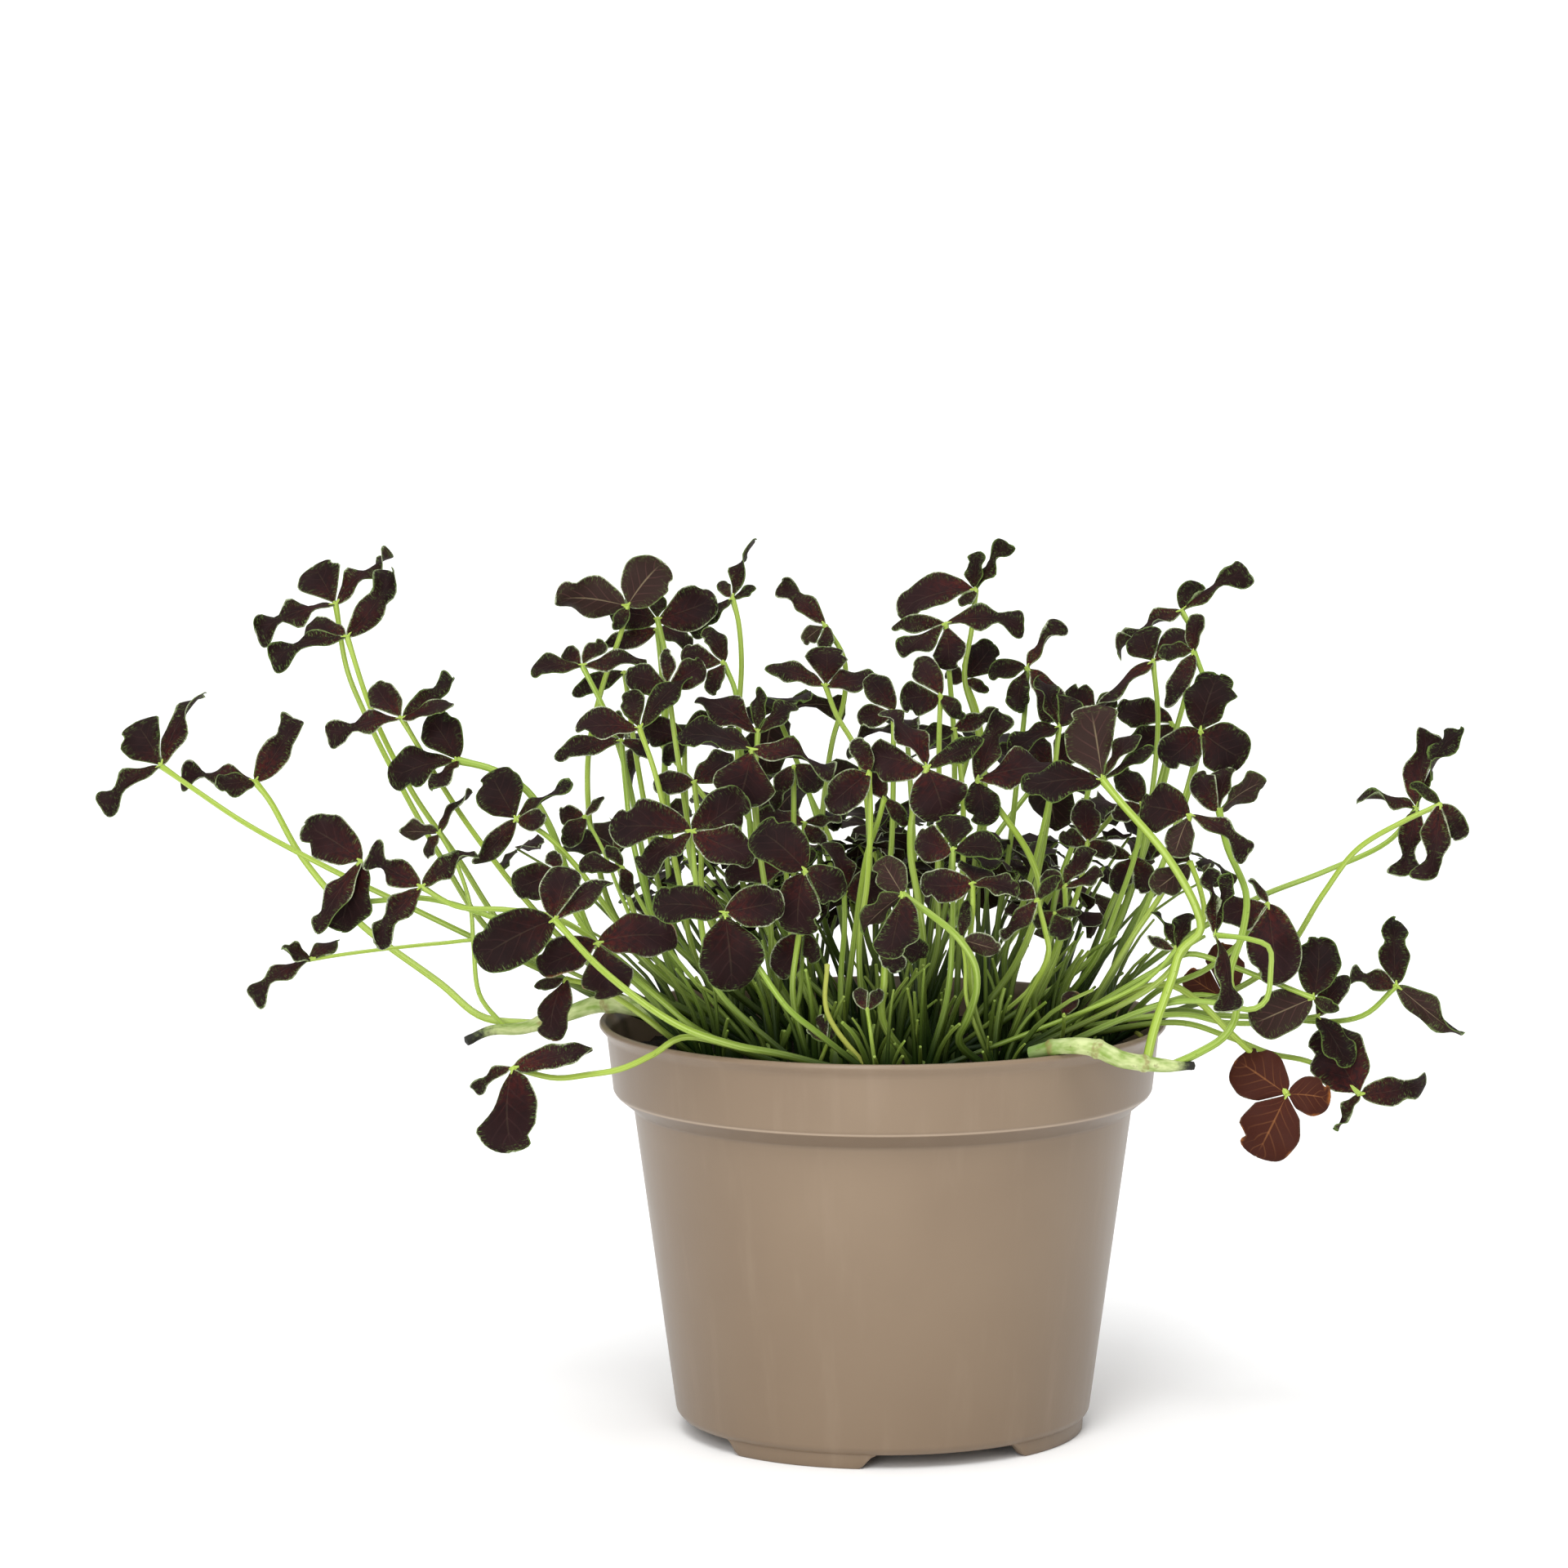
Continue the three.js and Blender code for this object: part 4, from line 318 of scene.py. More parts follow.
LEAVES = [
    seen_leaf(679, 1126, -58, [(740, 1190), (830, 1255), (900, 1280), (960, 1292)], (584, 1176, 68),
              (696, 1062, 54, "oval", 0.1), (748, 1077, 26, "lance"), wide=2.1),
    seen_leaf(628, 1308, -64, [(680, 1320), (720, 1316), (760, 1309), (800, 1291), (838, 1270)],
              (628, 1411, 66, "round"), (726, 1290, 40, "waist"), (580, 1337, 20, "waist", 0.2), wide=1.8),
    seen_leaf(732, 1155, -56, [(770, 1190), (810, 1225), (850, 1258)], (829, 1146, 52), (659, 1188, 44),
              (748, 1222, 66, "round", -0.2), dry=0.45),
    seen_leaf(693, 1199, -50, [(730, 1208), (765, 1228)], (674, 1273, 38), (655, 1208, 15, "lance", 0.2),
              dry=0.45),
    seen_leaf(887, 1118, -58, [(905, 1150), (930, 1186), (965, 1235), (1000, 1264)], (799, 1110, 46),
              (960, 1104, 52), (897, 1213, 76, "round", -0.1)),
    seen_leaf(986, 1066, -50, [(984, 1110), (976, 1160), (971, 1220)], (926, 1014, 62, "round"),
              (1034, 1094, 48), (977, 1144, 60, "round", -0.1)),
    seen_leaf(1105, 1095, -62, [(1140, 1120), (1172, 1147), (1193, 1180), (1196, 1210), (1186, 1245),
              (1174, 1275)], (1078, 1051, 40, "oval", 0.2, "under"), (1088, 1173, 58),
              (1052, 1138, 26, "oval", 0, "under"), wide=2.1),
    seen_leaf(847, 1018, -40, [(851, 1070), (860, 1140), (874, 1205)], (746, 1014, 58), (912, 974, 58),
              (924, 1054, 50), (781, 1062, 34)),
    seen_leaf(1167, 1040, -46, [(1167, 1090), (1166, 1150), (1160, 1220)], (1122, 1026, 46),
              (1168, 998, 50, "round", 0.3), (1228, 1043, 32)),
    seen_leaf(1191, 1082, -50, [(1191, 1115), (1187, 1165), (1192, 1230)], (1127, 1082, 42), (1248, 1092, 22),
              (1197, 1063, 46, "oval", 0.9)),
    seen_leaf(1270, 1102, -42, [(1280, 1140), (1284, 1168), (1256, 1226), (1241, 1262)],
              (1240, 1082, 24, "oval", 0.4), (1298, 1073, 18, "lance", 0.2), (1226, 1149, 22, "lance")),
    seen_leaf(1304, 1086, -34, [(1304, 1120), (1290, 1170), (1266, 1225)], (1341, 1042, 24), (1351, 1070, 24),
              (1276, 1072, 26, "oval", 0.5)),
    seen_leaf(1178, 1150, -52, [(1182, 1180), (1184, 1225)], (1225, 1162, 28, "oval", 0, "under"),
              (1184, 1102, 16, "lance"), wide=1.2),
    seen_leaf(1303, 1243, -42, [(1302, 1262)], (1316, 1214, 22, "round"), wide=1.2, dry=0.4),
    seen_leaf(1014, 1276, -50, [], (1004, 1243, 22), (1024, 1254, 12, "lance"), (988, 1260, 12, "lance", 0.2),
              wide=1.2),
    seen_leaf(1013, 1181, -50, [(1013, 1240)], wide=1.5),
    seen_leaf(1084, 1150, -46, [(1083, 1200), (1081, 1250)], (1136, 1168, 36), (1100, 1190, 34), wide=2.2),
    seen_leaf(1135, 940, -34, [(1117, 1000), (1115, 1045), (1124, 1100), (1131, 1160), (1128, 1215)],
              (1064, 924, 58), (1082, 870, 30, "oval", 0.3), (1204, 904, 26, "lance"),
              (1156, 1003, 72, "round", -0.1), wide=2.0),
    seen_leaf(1083, 978, -32, [(1074, 1010), (1062, 1045), (1054, 1090), (1046, 1150), (1040, 1200)],
              (1110, 1012, 20, "lance", 0.2), (1060, 940, 30, "oval", 0.5)),
    seen_leaf(920, 918, -26, [(922, 970), (930, 1040), (943, 1130), (950, 1200)], (829, 901, 30),
              (1023, 940, 36, "waist"), (902, 986, 76, "round", -0.2)),
    seen_leaf(1152, 852, -10, [(1150, 900), (1150, 990), (1148, 1080), (1146, 1170)], (1102, 858, 46),
              (1126, 804, 36, "oval", 0.2), (1180, 880, 22, "lance")),
    seen_leaf(928, 897, -2, [(925, 960), (930, 1050), (940, 1140)], (931, 842, 20, "lance"), (975, 863, 28),
              (856, 850, 34)),
    seen_leaf(516, 1086, -44, [(560, 1110), (620, 1114), (680, 1124), (745, 1165), (800, 1215)],
              (450, 1046, 44, "waist"), (583, 1046, 32, "waist"), (458, 1156, 36, "waist")),
    seen_leaf(443, 1055, -38, [(423, 1078), (420, 1094), (440, 1103), (520, 1100), (600, 1122), (700, 1165),
              (765, 1210)], (372, 1010, 58), (419, 1141, 64, "round", -0.1), (387, 1142, 24, "lance")),
    seen_leaf(380, 1175, -22, [(440, 1166), (540, 1155), (600, 1152), (680, 1182), (745, 1212)],
              (413, 1150, 20, "oval", 0.6), (346, 1163, 18, "oval", -0.6), (309, 1225, 22, "waist"),
              wide=1.2),
    seen_leaf(197, 938, -14, [(240, 968), (300, 1008), (400, 1062), (500, 1110), (600, 1158), (700, 1204),
              (760, 1225)], (165, 884, 68, "round", 0.2), (124, 990, 26, "waist"), (243, 846, 36, "waist")),
    seen_leaf(312, 957, 4, [(330, 980), (370, 1050), (440, 1130), (540, 1205), (590, 1245)],
              (221, 950, 22, "waist"), (263, 962, 28, "oval", -0.5), (361, 879, 48, "waist"),
              on=("stolon_left", 0.72), wide=2.0),
    seen_leaf(538, 1020, -8, [(560, 1060), (576, 1110), (580, 1160), (588, 1220)],
              (489, 1018, 22, "oval", 0, "under"), (576, 968, 16, "waist"), (522, 1050, 16, "oval", 0.3),
              on=("stolon_left", 0.84), wide=1.3),
    seen_leaf(411, 740, 22, [(425, 820), (445, 870), (475, 932), (540, 1050), (600, 1140), (690, 1200)],
              (384, 693, 64, "round", 0.3), (314, 778, 24, "waist"), (480, 679, 30, "waist")),
    seen_leaf(425, 780, 8, [(455, 870), (505, 970), (560, 1050), (620, 1140), (700, 1205)],
              (331, 810, 28, "waist"), (377, 769, 30, "oval", 0.6), (483, 703, 46, "waist")),
    seen_leaf(492, 880, -6, [(540, 960), (580, 1020), (655, 1115), (740, 1195)], (401, 905, 26, "waist"),
              (460, 838, 40, "oval", 0.4), (554, 829, 36, "waist"), (556, 868, 26, "oval", -0.3)),
    seen_leaf(560, 931, -12, [(605, 943), (645, 968), (672, 1010), (697, 1075), (740, 1170)],
              (524, 876, 52, "oval", 0.2), (476, 954, 48), (530, 966, 20, "oval", -0.6), wide=2.3),
    seen_leaf(632, 1003, -22, [(665, 1020), (705, 1060), (745, 1115), (790, 1175)],
              (600, 945, 62, "round", 0.2), (584, 1059, 28, "lance"), (701, 959, 16, "lance"),
              (668, 1002, 30, "oval", -0.3)),
    seen_leaf(716, 1000, -8, [(738, 1040), (762, 1100), (795, 1165)], (692, 1037, 28, "oval", -0.4),
              (684, 995, 26, "oval", 0.4), (738, 974, 12, "lance"), wide=1.2),
    seen_leaf(762, 1062, -30, [(790, 1115), (825, 1170)], (709, 1056, 26), (770, 1097, 20, "oval", -0.4),
              (742, 1036, 18, "lance", 0.2), wide=1.3),
    seen_leaf(768, 742, 10, [(762, 770), (738, 840), (722, 910), (720, 980), (730, 1050), (765, 1140)],
              (681, 729, 52, "oval", 0, "under"), (812, 688, 62, "round", 0.1, "under"),
              (752, 770, 20, "lance")),
    seen_leaf(805, 758, 22, [(816, 810), (815, 900), (813, 980), (820, 1080), (835, 1160)], (747, 750, 42),
              (877, 734, 56), (808, 725, 22, "oval", 0.4)),
    seen_leaf(713, 815, 0, [(745, 880), (768, 950), (786, 1040), (805, 1130)], (650, 822, 26),
              (690, 798, 30, "oval", 0.6), (739, 786, 26, "oval", 0.3), (791, 805, 22, "lance")),
    seen_leaf(805, 770, 34, [(812, 850), (815, 950), (826, 1060), (848, 1150)], (739, 788, 26, "lance"),
              (848, 790, 24)),
    seen_leaf(765, 823, 18, [(775, 900), (792, 1000), (815, 1110)], (702, 851, 24, "lance"), (795, 852, 22)),
    seen_leaf(818, 838, -8, [(826, 900), (838, 980), (853, 1080), (872, 1180)], (766, 826, 38),
              (862, 812, 38), (815, 794, 20, "lance", 0.2)),
    seen_leaf(783, 892, -16, [(800, 940), (813, 990), (832, 1080), (855, 1180)], (843, 824, 30, "lance"),
              (705, 895, 34), (770, 846, 34)),
    seen_leaf(761, 907, -4, [(766, 960), (773, 1020), (795, 1110), (820, 1185)], (679, 928, 24, "lance"),
              (796, 926, 18), (758, 870, 18, "lance", 0.2)),
    seen_leaf(897, 733, 26, [(904, 760), (908, 810), (905, 870), (903, 940), (906, 1030), (918, 1110)],
              (927, 663, 24, "waist"), (925, 719, 18, "oval", 0.2), (847, 776, 22, "waist"),
              (882, 711, 18, "oval", 0.5)),
    seen_leaf(1010, 766, 34, [(1033, 805), (1034, 855), (1020, 905), (1010, 970), (1004, 1050), (1010, 1130)],
              (957, 713, 32, "waist"), (984, 786, 24, "oval", -0.4, "under"), (1011, 799, 24, "oval", -0.5)),
    seen_leaf(1011, 840, 16, [(1024, 875), (1047, 915), (1060, 970), (1065, 1060), (1060, 1140)],
              (1012, 792, 58, "round", 0.2), (937, 820, 24, "lance"), (1074, 832, 28)),
    seen_leaf(886, 812, 8, [(900, 845), (906, 905), (916, 990), (930, 1080)], (834, 800, 32),
              (864, 769, 26, "oval", 0.3), (870, 850, 22, "oval", -0.3)),
    seen_leaf(1195, 722, 20, [(1190, 770), (1181, 830), (1194, 880), (1205, 960), (1196, 1040), (1182, 1130)],
              (1098, 745, 52), (1197, 675, 22, "oval", 0.2), (1233, 665, 22, "waist"),
              (1176, 741, 20, "oval", -0.5)),
    seen_leaf(1158, 764, 4, [(1162, 820), (1168, 900), (1168, 1000), (1160, 1100)], (1092, 768, 24, "lance"),
              (1104, 806, 40), (1254, 765, 28, "waist"), (1162, 820, 44, "oval", -0.2)),
    seen_leaf(1258, 818, 12, [(1255, 870), (1246, 950), (1236, 1040), (1222, 1130)], (1301, 763, 20, "waist"),
              (1211, 830, 26), (1290, 882, 34), (1245, 871, 34)),
    seen_leaf(1297, 890, -2, [(1290, 950), (1276, 1020), (1255, 1100), (1230, 1175)], (1234, 926, 28),
              (1271, 829, 26), (1304, 852, 46, "round")),
    seen_leaf(1350, 955, -32, [(1372, 982), (1430, 1050), (1466, 1115), (1470, 1140), (1446, 1164),
              (1436, 1195), (1414, 1258)], (1336, 866, 80, "round", 0, "under"), (1251, 968, 42),
              (1394, 899, 24), (1413, 914, 20, "lance"), on=("stolon_right", 0.72), wide=2.4),
    seen_leaf(1447, 748, 22, [(1462, 780), (1452, 850), (1440, 895), (1425, 960), (1402, 1040), (1368, 1130)],
              (1365, 794, 26, "waist"), (1470, 715, 36), (1529, 700, 30, "waist")),
    seen_leaf(1412, 810, 12, [(1418, 880), (1411, 970), (1395, 1060), (1362, 1150)], (1344, 881, 26, "waist"),
              (1398, 770, 50, "round", 0.3), (1458, 774, 30, "oval", 0.3)),
    seen_leaf(1462, 798, 4, [(1476, 840), (1470, 910), (1449, 990), (1412, 1085), (1368, 1170)],
              (1419, 805, 24), (1425, 863, 28, "lance"), (1468, 752, 22, "oval", 0.2)),
    seen_leaf(1470, 895, -12, [(1458, 950), (1440, 1010), (1412, 1090), (1375, 1170)],
              (1491, 824, 58, "round"), (1525, 931, 64, "round"), (1424, 934, 52)),
    seen_leaf(1493, 993, -24, [(1502, 1035), (1526, 1095), (1522, 1140), (1506, 1195), (1514, 1240),
              (1500, 1268), (1466, 1290)], (1464, 947, 40, "oval", 0.2), (1549, 954, 30, "oval", 0, "under"),
              (1507, 941, 24), on=("stolon_right", 0.86), wide=2.1),
    seen_leaf(1457, 998, -36, [(1448, 1035), (1425, 1090), (1385, 1150)], (1397, 986, 62),
              (1529, 1046, 24, "waist"), (1438, 1051, 36, "oval", 0, "under")),
    seen_leaf(1398, 985, -18, [(1393, 1035), (1368, 1110), (1338, 1180)], (1371, 943, 36), (1362, 1002, 26)),
    seen_leaf(1332, 1032, -22, [(1322, 1085), (1303, 1140), (1284, 1195)], (1328, 980, 38), (1297, 1024, 24),
              (1366, 1044, 24)),
    seen_leaf(1457, 1055, -40, [(1470, 1090), (1474, 1125), (1450, 1165), (1415, 1205)],
              (1411, 1092, 40, "oval", 0, "under"), (1436, 1050, 26, "oval", 0.3)),
    seen_leaf(1764, 985, -8, [(1720, 1005), (1662, 1040), (1620, 1095), (1570, 1172), (1510, 1213),
              (1440, 1238)], (1753, 1080, 50, "waist"), (1793, 1026, 36, "oval", -0.3),
              (1728, 958, 16, "lance", 0.3)),
    seen_leaf(1735, 990, 8, [(1700, 1030), (1622, 1067), (1545, 1097), (1465, 1140), (1400, 1185)],
              (1748, 896, 58, "waist"), (1720, 1075, 42, "waist"), (1662, 978, 22, "waist"),
              (1786, 896, 16, "waist")),
    seen_leaf(1710, 1207, -20, [(1672, 1242), (1630, 1251), (1560, 1246), (1490, 1243), (1432, 1238)],
              (1708, 1127, 50, "waist"), (1653, 1195, 34, "waist"), (1786, 1271, 42, "waist", 0, "under")),
    seen_leaf(1553, 1107, -26, [(1538, 1125), (1520, 1152), (1475, 1188), (1415, 1215)], (1568, 1208, 66),
              (1492, 1126, 48, "round"), (1529, 1078, 12, "lance")),
    seen_leaf(1608, 1222, -32, [(1560, 1203), (1505, 1182), (1455, 1168), (1412, 1190)], (1614, 1148, 54),
              (1531, 1256, 56, "oval", 0, "under"), (1640, 1236, 18, "lance")),
    seen_leaf(1488, 1145, -50, [(1530, 1150), (1554, 1160), (1556, 1190), (1550, 1225), (1532, 1236),
              (1490, 1228), (1432, 1228)], (1479, 1061, 32, "waist"), (1506, 1069, 20, "lance"),
              (1501, 1241, 20, "waist")),
    seen_leaf(1440, 1162, -46, [(1418, 1188), (1385, 1212)], (1412, 1117, 18, "waist"), (1455, 1117, 22),
              (1405, 1147, 14, "lance"), wide=1.3),
    seen_leaf(1576, 1340, -42, [(1558, 1315), (1505, 1263), (1462, 1222), (1425, 1205)],
              (1514, 1296, 66, "round"), (1629, 1346, 48, "round"), (1538, 1416, 74, "round", -0.1), wide=2.0,
              dry=1.0),
    seen_leaf(1665, 1340, -26, [(1640, 1318), (1600, 1299), (1556, 1290), (1500, 1268), (1442, 1252)],
              (1618, 1262, 74), (1747, 1326, 46, "waist"), (1634, 1382, 20, "waist")),
    seen_leaf(1613, 1245, -36, [(1560, 1252), (1500, 1252), (1445, 1242)], (1652, 1305, 32),
              (1651, 1195, 30, "lance")),
    seen_leaf(1500, 1222, 8, [(1465, 1218), (1425, 1228)], (1500, 1156, 50), (1452, 1192, 42), dry=1.0),
    seen_leaf(1064, 946, -30, [(1066, 1000), (1062, 1080), (1052, 1160)], (1012, 990, 46),
              (1046, 905, 26, "oval", 0.2)),
    seen_leaf(1196, 956, -30, [(1230, 1000), (1262, 1050), (1274, 1095), (1262, 1140), (1238, 1190)],
              (1222, 872, 44, "waist"), (1297, 940, 40), (1206, 1010, 44), wide=2.0),
    seen_leaf(1168, 893, -6, [(1176, 940), (1180, 1020), (1176, 1120)], (1222, 873, 30, "waist"),
              (1120, 912, 26)),
    seen_leaf(1181, 832, 30, [(1196, 870), (1206, 950), (1200, 1050)], (1217, 788, 44), (1158, 824, 26),
              (1210, 847, 16, "lance")),
    seen_leaf(1343, 873, 10, [(1340, 930), (1322, 1010), (1290, 1110)], (1303, 850, 46),
              (1366, 850, 26, "lance", 0.2)),
    seen_leaf(1436, 886, 30, [(1425, 940), (1400, 1020), (1360, 1110)], (1368, 866, 40), (1382, 922, 42)),
    seen_leaf(1386, 1050, -6, [(1380, 1100), (1350, 1160)], (1368, 1094, 34), (1408, 1092, 36),
              (1342, 1036, 18, "lance", 0.2)),
    seen_leaf(1291, 1118, -30, [(1286, 1150), (1270, 1200)], (1306, 1150, 32), (1324, 1118, 14, "lance", 0.2),
              (1266, 1132, 22), wide=1.3),
    seen_leaf(1034, 1092, -20, [(1034, 1140), (1030, 1190)], (1084, 1080, 46, "round"),
              (1015, 1030, 26, "oval", 0.3)),
    seen_leaf(984, 1143, -40, [(982, 1180), (978, 1225)], (952, 1194, 46), (998, 1180, 26), wide=1.4),
    seen_leaf(962, 1060, -12, [(966, 1110), (972, 1170)], (888, 1076, 36), (1000, 1044, 22, "lance", 0.2)),
    seen_leaf(850, 958, -14, [(858, 1030), (866, 1120)], (897, 924, 34), (800, 962, 30)),
    seen_leaf(972, 938, -6, [(972, 1000), (972, 1080), (976, 1150)], (944, 990, 32, "waist"),
              (1004, 966, 34)),
    seen_leaf(985, 1008, 8, [(984, 1060), (984, 1130)], (925, 1003, 26), (1012, 1034, 22, "lance"),
              (1030, 1000, 22, "waist")),
    seen_leaf(838, 905, 8, [(840, 980), (850, 1070)], (788, 892, 40), (882, 878, 38), (812, 935, 26)),
    seen_leaf(684, 1066, -24, [(700, 1110), (740, 1170), (790, 1215)], (628, 1088, 46),
              (676, 1042, 22, "oval", 0.2)),
    seen_leaf(752, 1042, 0, [(770, 1100), (800, 1170)], (690, 1034, 26), (776, 1012, 20, "lance")),
    seen_leaf(1094, 872, 6, [(1094, 940), (1092, 1030), (1084, 1130)], (1062, 828, 36),
              (1050, 880, 30, "oval", 0.1)),
    seen_leaf(1062, 1236, -48, [], (1050, 1210, 20), (1079, 1212, 18), wide=1.2),
    seen_leaf(1290, 940, 8, [(1282, 1010), (1264, 1100)], (1318, 900, 40), (1252, 900, 34)),
]


# Layout: the view, the outlines and the curves that the solids were made from

def unit(vectors):
    """Each vector divided by its length."""
    vectors = np.asarray(vectors, float)
    return vectors / np.linalg.norm(vectors, axis=-1, keepdims=True)


def seen_point(column, row, back):
    """The point seen at a column and row of the front view, at a depth behind the pot's axis: the row's
    slope and the view's tilt give its height at that depth, and the depth along the view spreads the
    column."""
    rise = (CENTRE_ROW - row) / VIEW_FOCAL
    cos, sin = np.cos(VIEW_TILT), np.sin(VIEW_TILT)
    away = back + VIEW_DISTANCE
    height = away * (rise * cos - sin) / (cos + rise * sin)
    depth = away * cos - height * sin
    return np.array([(column - AXIS_COLUMN) * depth / VIEW_FOCAL, back, VIEW_HEIGHT + height])


def seen_at(point):
    """The column and row at which a point is seen: its offsets across and up the view, over its depth."""
    cos, sin = np.cos(VIEW_TILT), np.sin(VIEW_TILT)
    away, height = point[1] + VIEW_DISTANCE, point[2] - VIEW_HEIGHT
    depth = away * cos - height * sin
    up = height * cos + away * sin
    return AXIS_COLUMN + VIEW_FOCAL * point[0] / depth, CENTRE_ROW - VIEW_FOCAL * up / depth


def random_source(seed):
    """Numbers from 0 to 1 that are the same on every run: a 32-bit state steps on by a fixed odd number
    and is mixed by shifts and products."""
    mask = 0xFFFFFFFF
    state = seed & mask
    while True:
        state = (state + 0x6D2B79F5) & mask
        mixed = (state ^ (state >> 15)) * (1 | state) & mask
        mixed = (mixed + ((mixed ^ (mixed >> 7)) * (61 | mixed) & mask)) & mask ^ mixed
        yield (mixed ^ (mixed >> 14)) / 2 ** 32


def between(draw, low, high):
    """The next number of a random source, spread from low to high."""
    return low + (high - low) * next(draw)


def smooth_step(value, low, high):
    """0 below low, 1 above high, and 3 x^2 - 2 x^3 of the share x between them."""
    share = np.clip((value - low) / (high - low), 0, 1)
    return share * share * (3 - 2 * share)


def outline_width(outline, t):
    """Half width at a share t of the length: t^base (1 - t)^tip over its peak, pinched at the waist."""
    base, tip = outline["base"], outline["tip"]
    peak = base / (base + tip)
    plain = t ** base * (1 - t) ** tip / (peak ** base * (1 - peak) ** tip)
    return plain * (1 - outline["waist"] * np.exp(-((t - WAIST_PLACE) / WAIST_REACH) ** 2))


def smooth_curve(points, steps):
    """Evenly spaced points of the centripetal Catmull-Rom curve through the given ones: between two points
    it is a cubic whose end slopes come from the neighbours, spaced by the root of their distances."""
    points = np.asarray(points, float)
    ends = np.vstack([2 * points[0] - points[1], points, 2 * points[-1] - points[-2]])
    before, start, end, after = ends[:-3], ends[1:-2], ends[2:-1], ends[3:]
    gap = [np.sqrt(np.linalg.norm(b - a, axis=1, keepdims=True)) for a, b in
           ((before, start), (start, end), (end, after))]
    leave = ((start - before) / gap[0] - (end - before) / (gap[0] + gap[1]) + (end - start) / gap[1]) * gap[1]
    reach = ((end - start) / gap[1] - (after - start) / (gap[1] + gap[2]) + (after - end) / gap[2]) * gap[1]
    t = np.linspace(0, 1, CURVE_POINTS)[None, :, None]
    start, end, leave, reach = (v[:, None, :] for v in (start, end, leave, reach))
    path = (start + leave * t + (3 * (end - start) - 2 * leave - reach) * t ** 2
            + (2 * (start - end) + leave + reach) * t ** 3)
    path = np.vstack([path[:, :-1].reshape(-1, 3), points[-1:]])
    length = np.concatenate([[0], np.cumsum(np.linalg.norm(np.diff(path, axis=0), axis=1))])
    even = np.linspace(0, length[-1], steps + 1)
    return np.stack([np.interp(even, length, path[:, k]) for k in range(3)], axis=1)


def stolon_path(name, steps):
    """The middle line of a creeping stem."""
    return smooth_curve([seen_point(*station[:3]) for station in STOLONS[name]], steps)


def finished_blade(joint, tip, axis, up, width, kind, sense, grid=BLADE_GRID):
    """A leaflet's frame: its rib from the joint to the tip, the way its upper side faces, and across."""
    return {"joint": joint, "axis": axis, "up": up, "across": unit(np.cross(axis, up)), "width": width,
            "length": np.linalg.norm(tip - joint), "kind": kind, "sense": sense, "grid": grid}


def seen_blade(joint, back, blade):
    """A leaflet from its tip's place in the view. It is turned about its rib until its widest part looks
    as wide as it is seen, the way that lifts its upper side most."""
    column, row, seen_width, kind, lean = blade[:5]
    outline = OUTLINES[kind]
    flat_tip = seen_point(column, row, back)
    tilted = LEAF_TILT * (flat_tip[2] - joint[2])
    leaning = lean * np.linalg.norm(flat_tip - joint) / np.sqrt(1 - lean * lean)
    tip = seen_point(column, row, back + (tilted if lean == 0 else leaning))
    length = np.linalg.norm(tip - joint)
    axis = (tip - joint) / length
    seen = seen_width * VIEW_DISTANCE / VIEW_FOCAL
    width = max(seen, outline["ratio"] * length)
    turn = np.arccos(min(1.0, seen / width))
    eye = unit(np.array([0, -VIEW_DISTANCE, VIEW_HEIGHT]) - joint)
    facing = unit(eye - axis * (eye @ axis)) * (-1 if "under" in blade else 1)
    sideways = np.cross(axis, facing)
    choices = [facing * np.cos(angle) + sideways * np.sin(angle) for angle in (turn, -turn)]
    up = max(choices, key=lambda way: way[2])
    return finished_blade(joint, tip, axis, up, width, kind, 1 if column < AXIS_COLUMN else -1)


def free_blades(joint, seed, size=1.0, grid=HIDDEN_GRID):
    """Three or four leaflets spread evenly about a stalk that leans outwards, each drooping a little."""
    draw = random_source(seed)
    count = 4 if next(draw) < FOUR_BLADE_SHARE else 3
    outward = unit([joint[0], joint[1], 0])
    up = unit(outward * between(draw, *FREE_LEAF_LEAN) + [0, 0, 1])
    start = next(draw) * 2 * np.pi
    right = unit(np.cross([1, 0, 0], up))
    ahead = unit(np.cross(up, right))
    blades = []
    for k in range(count):
        shift = FREE_BLADE_SHIFT * (next(draw) - 0.5)
        angle = start + 2 * np.pi * (k + shift) / count
        length = FREE_BLADE * size * between(draw, *FREE_BLADE_SPREAD)
        droop = between(draw, *FREE_BLADE_DROOP)
        axis = unit(right * np.cos(angle) + ahead * np.sin(angle) - up * droop)
        own = unit(up - axis * (up @ axis))
        kind = "waist" if next(draw) < WAISTED_SHARE else "oval"
        width = OUTLINES[kind]["ratio"] * length * FREE_BLADE_WIDENING
        blades.append(finished_blade(joint, joint + axis * length, axis, own, width, kind, 1, grid))
    return blades


def blade_frame(blade, turn):
    """The way across and the way up of a leaflet, turned about its rib by an angle."""
    across = blade["across"] * np.cos(turn) + blade["up"] * np.sin(turn)
    up = blade["up"] * np.cos(turn) - blade["across"] * np.sin(turn)
    return across, up


def blade_turn(blade, t):
    """How far a leaflet is turned about its rib at t: by its twist, more and more towards the tip."""
    return np.radians(OUTLINES[blade["kind"]]["twist"]) * (t - TWIST_START) * blade["sense"]


def blade_rib(blade, t):
    """The rib's point at t: along the axis, and up by arch * length * 4 t (1 - t)."""
    arch = OUTLINES[blade["kind"]]["arch"] * blade["length"]
    return blade["joint"] + blade["axis"] * blade["length"] * t + blade["up"] * arch * 4 * t * (1 - t)


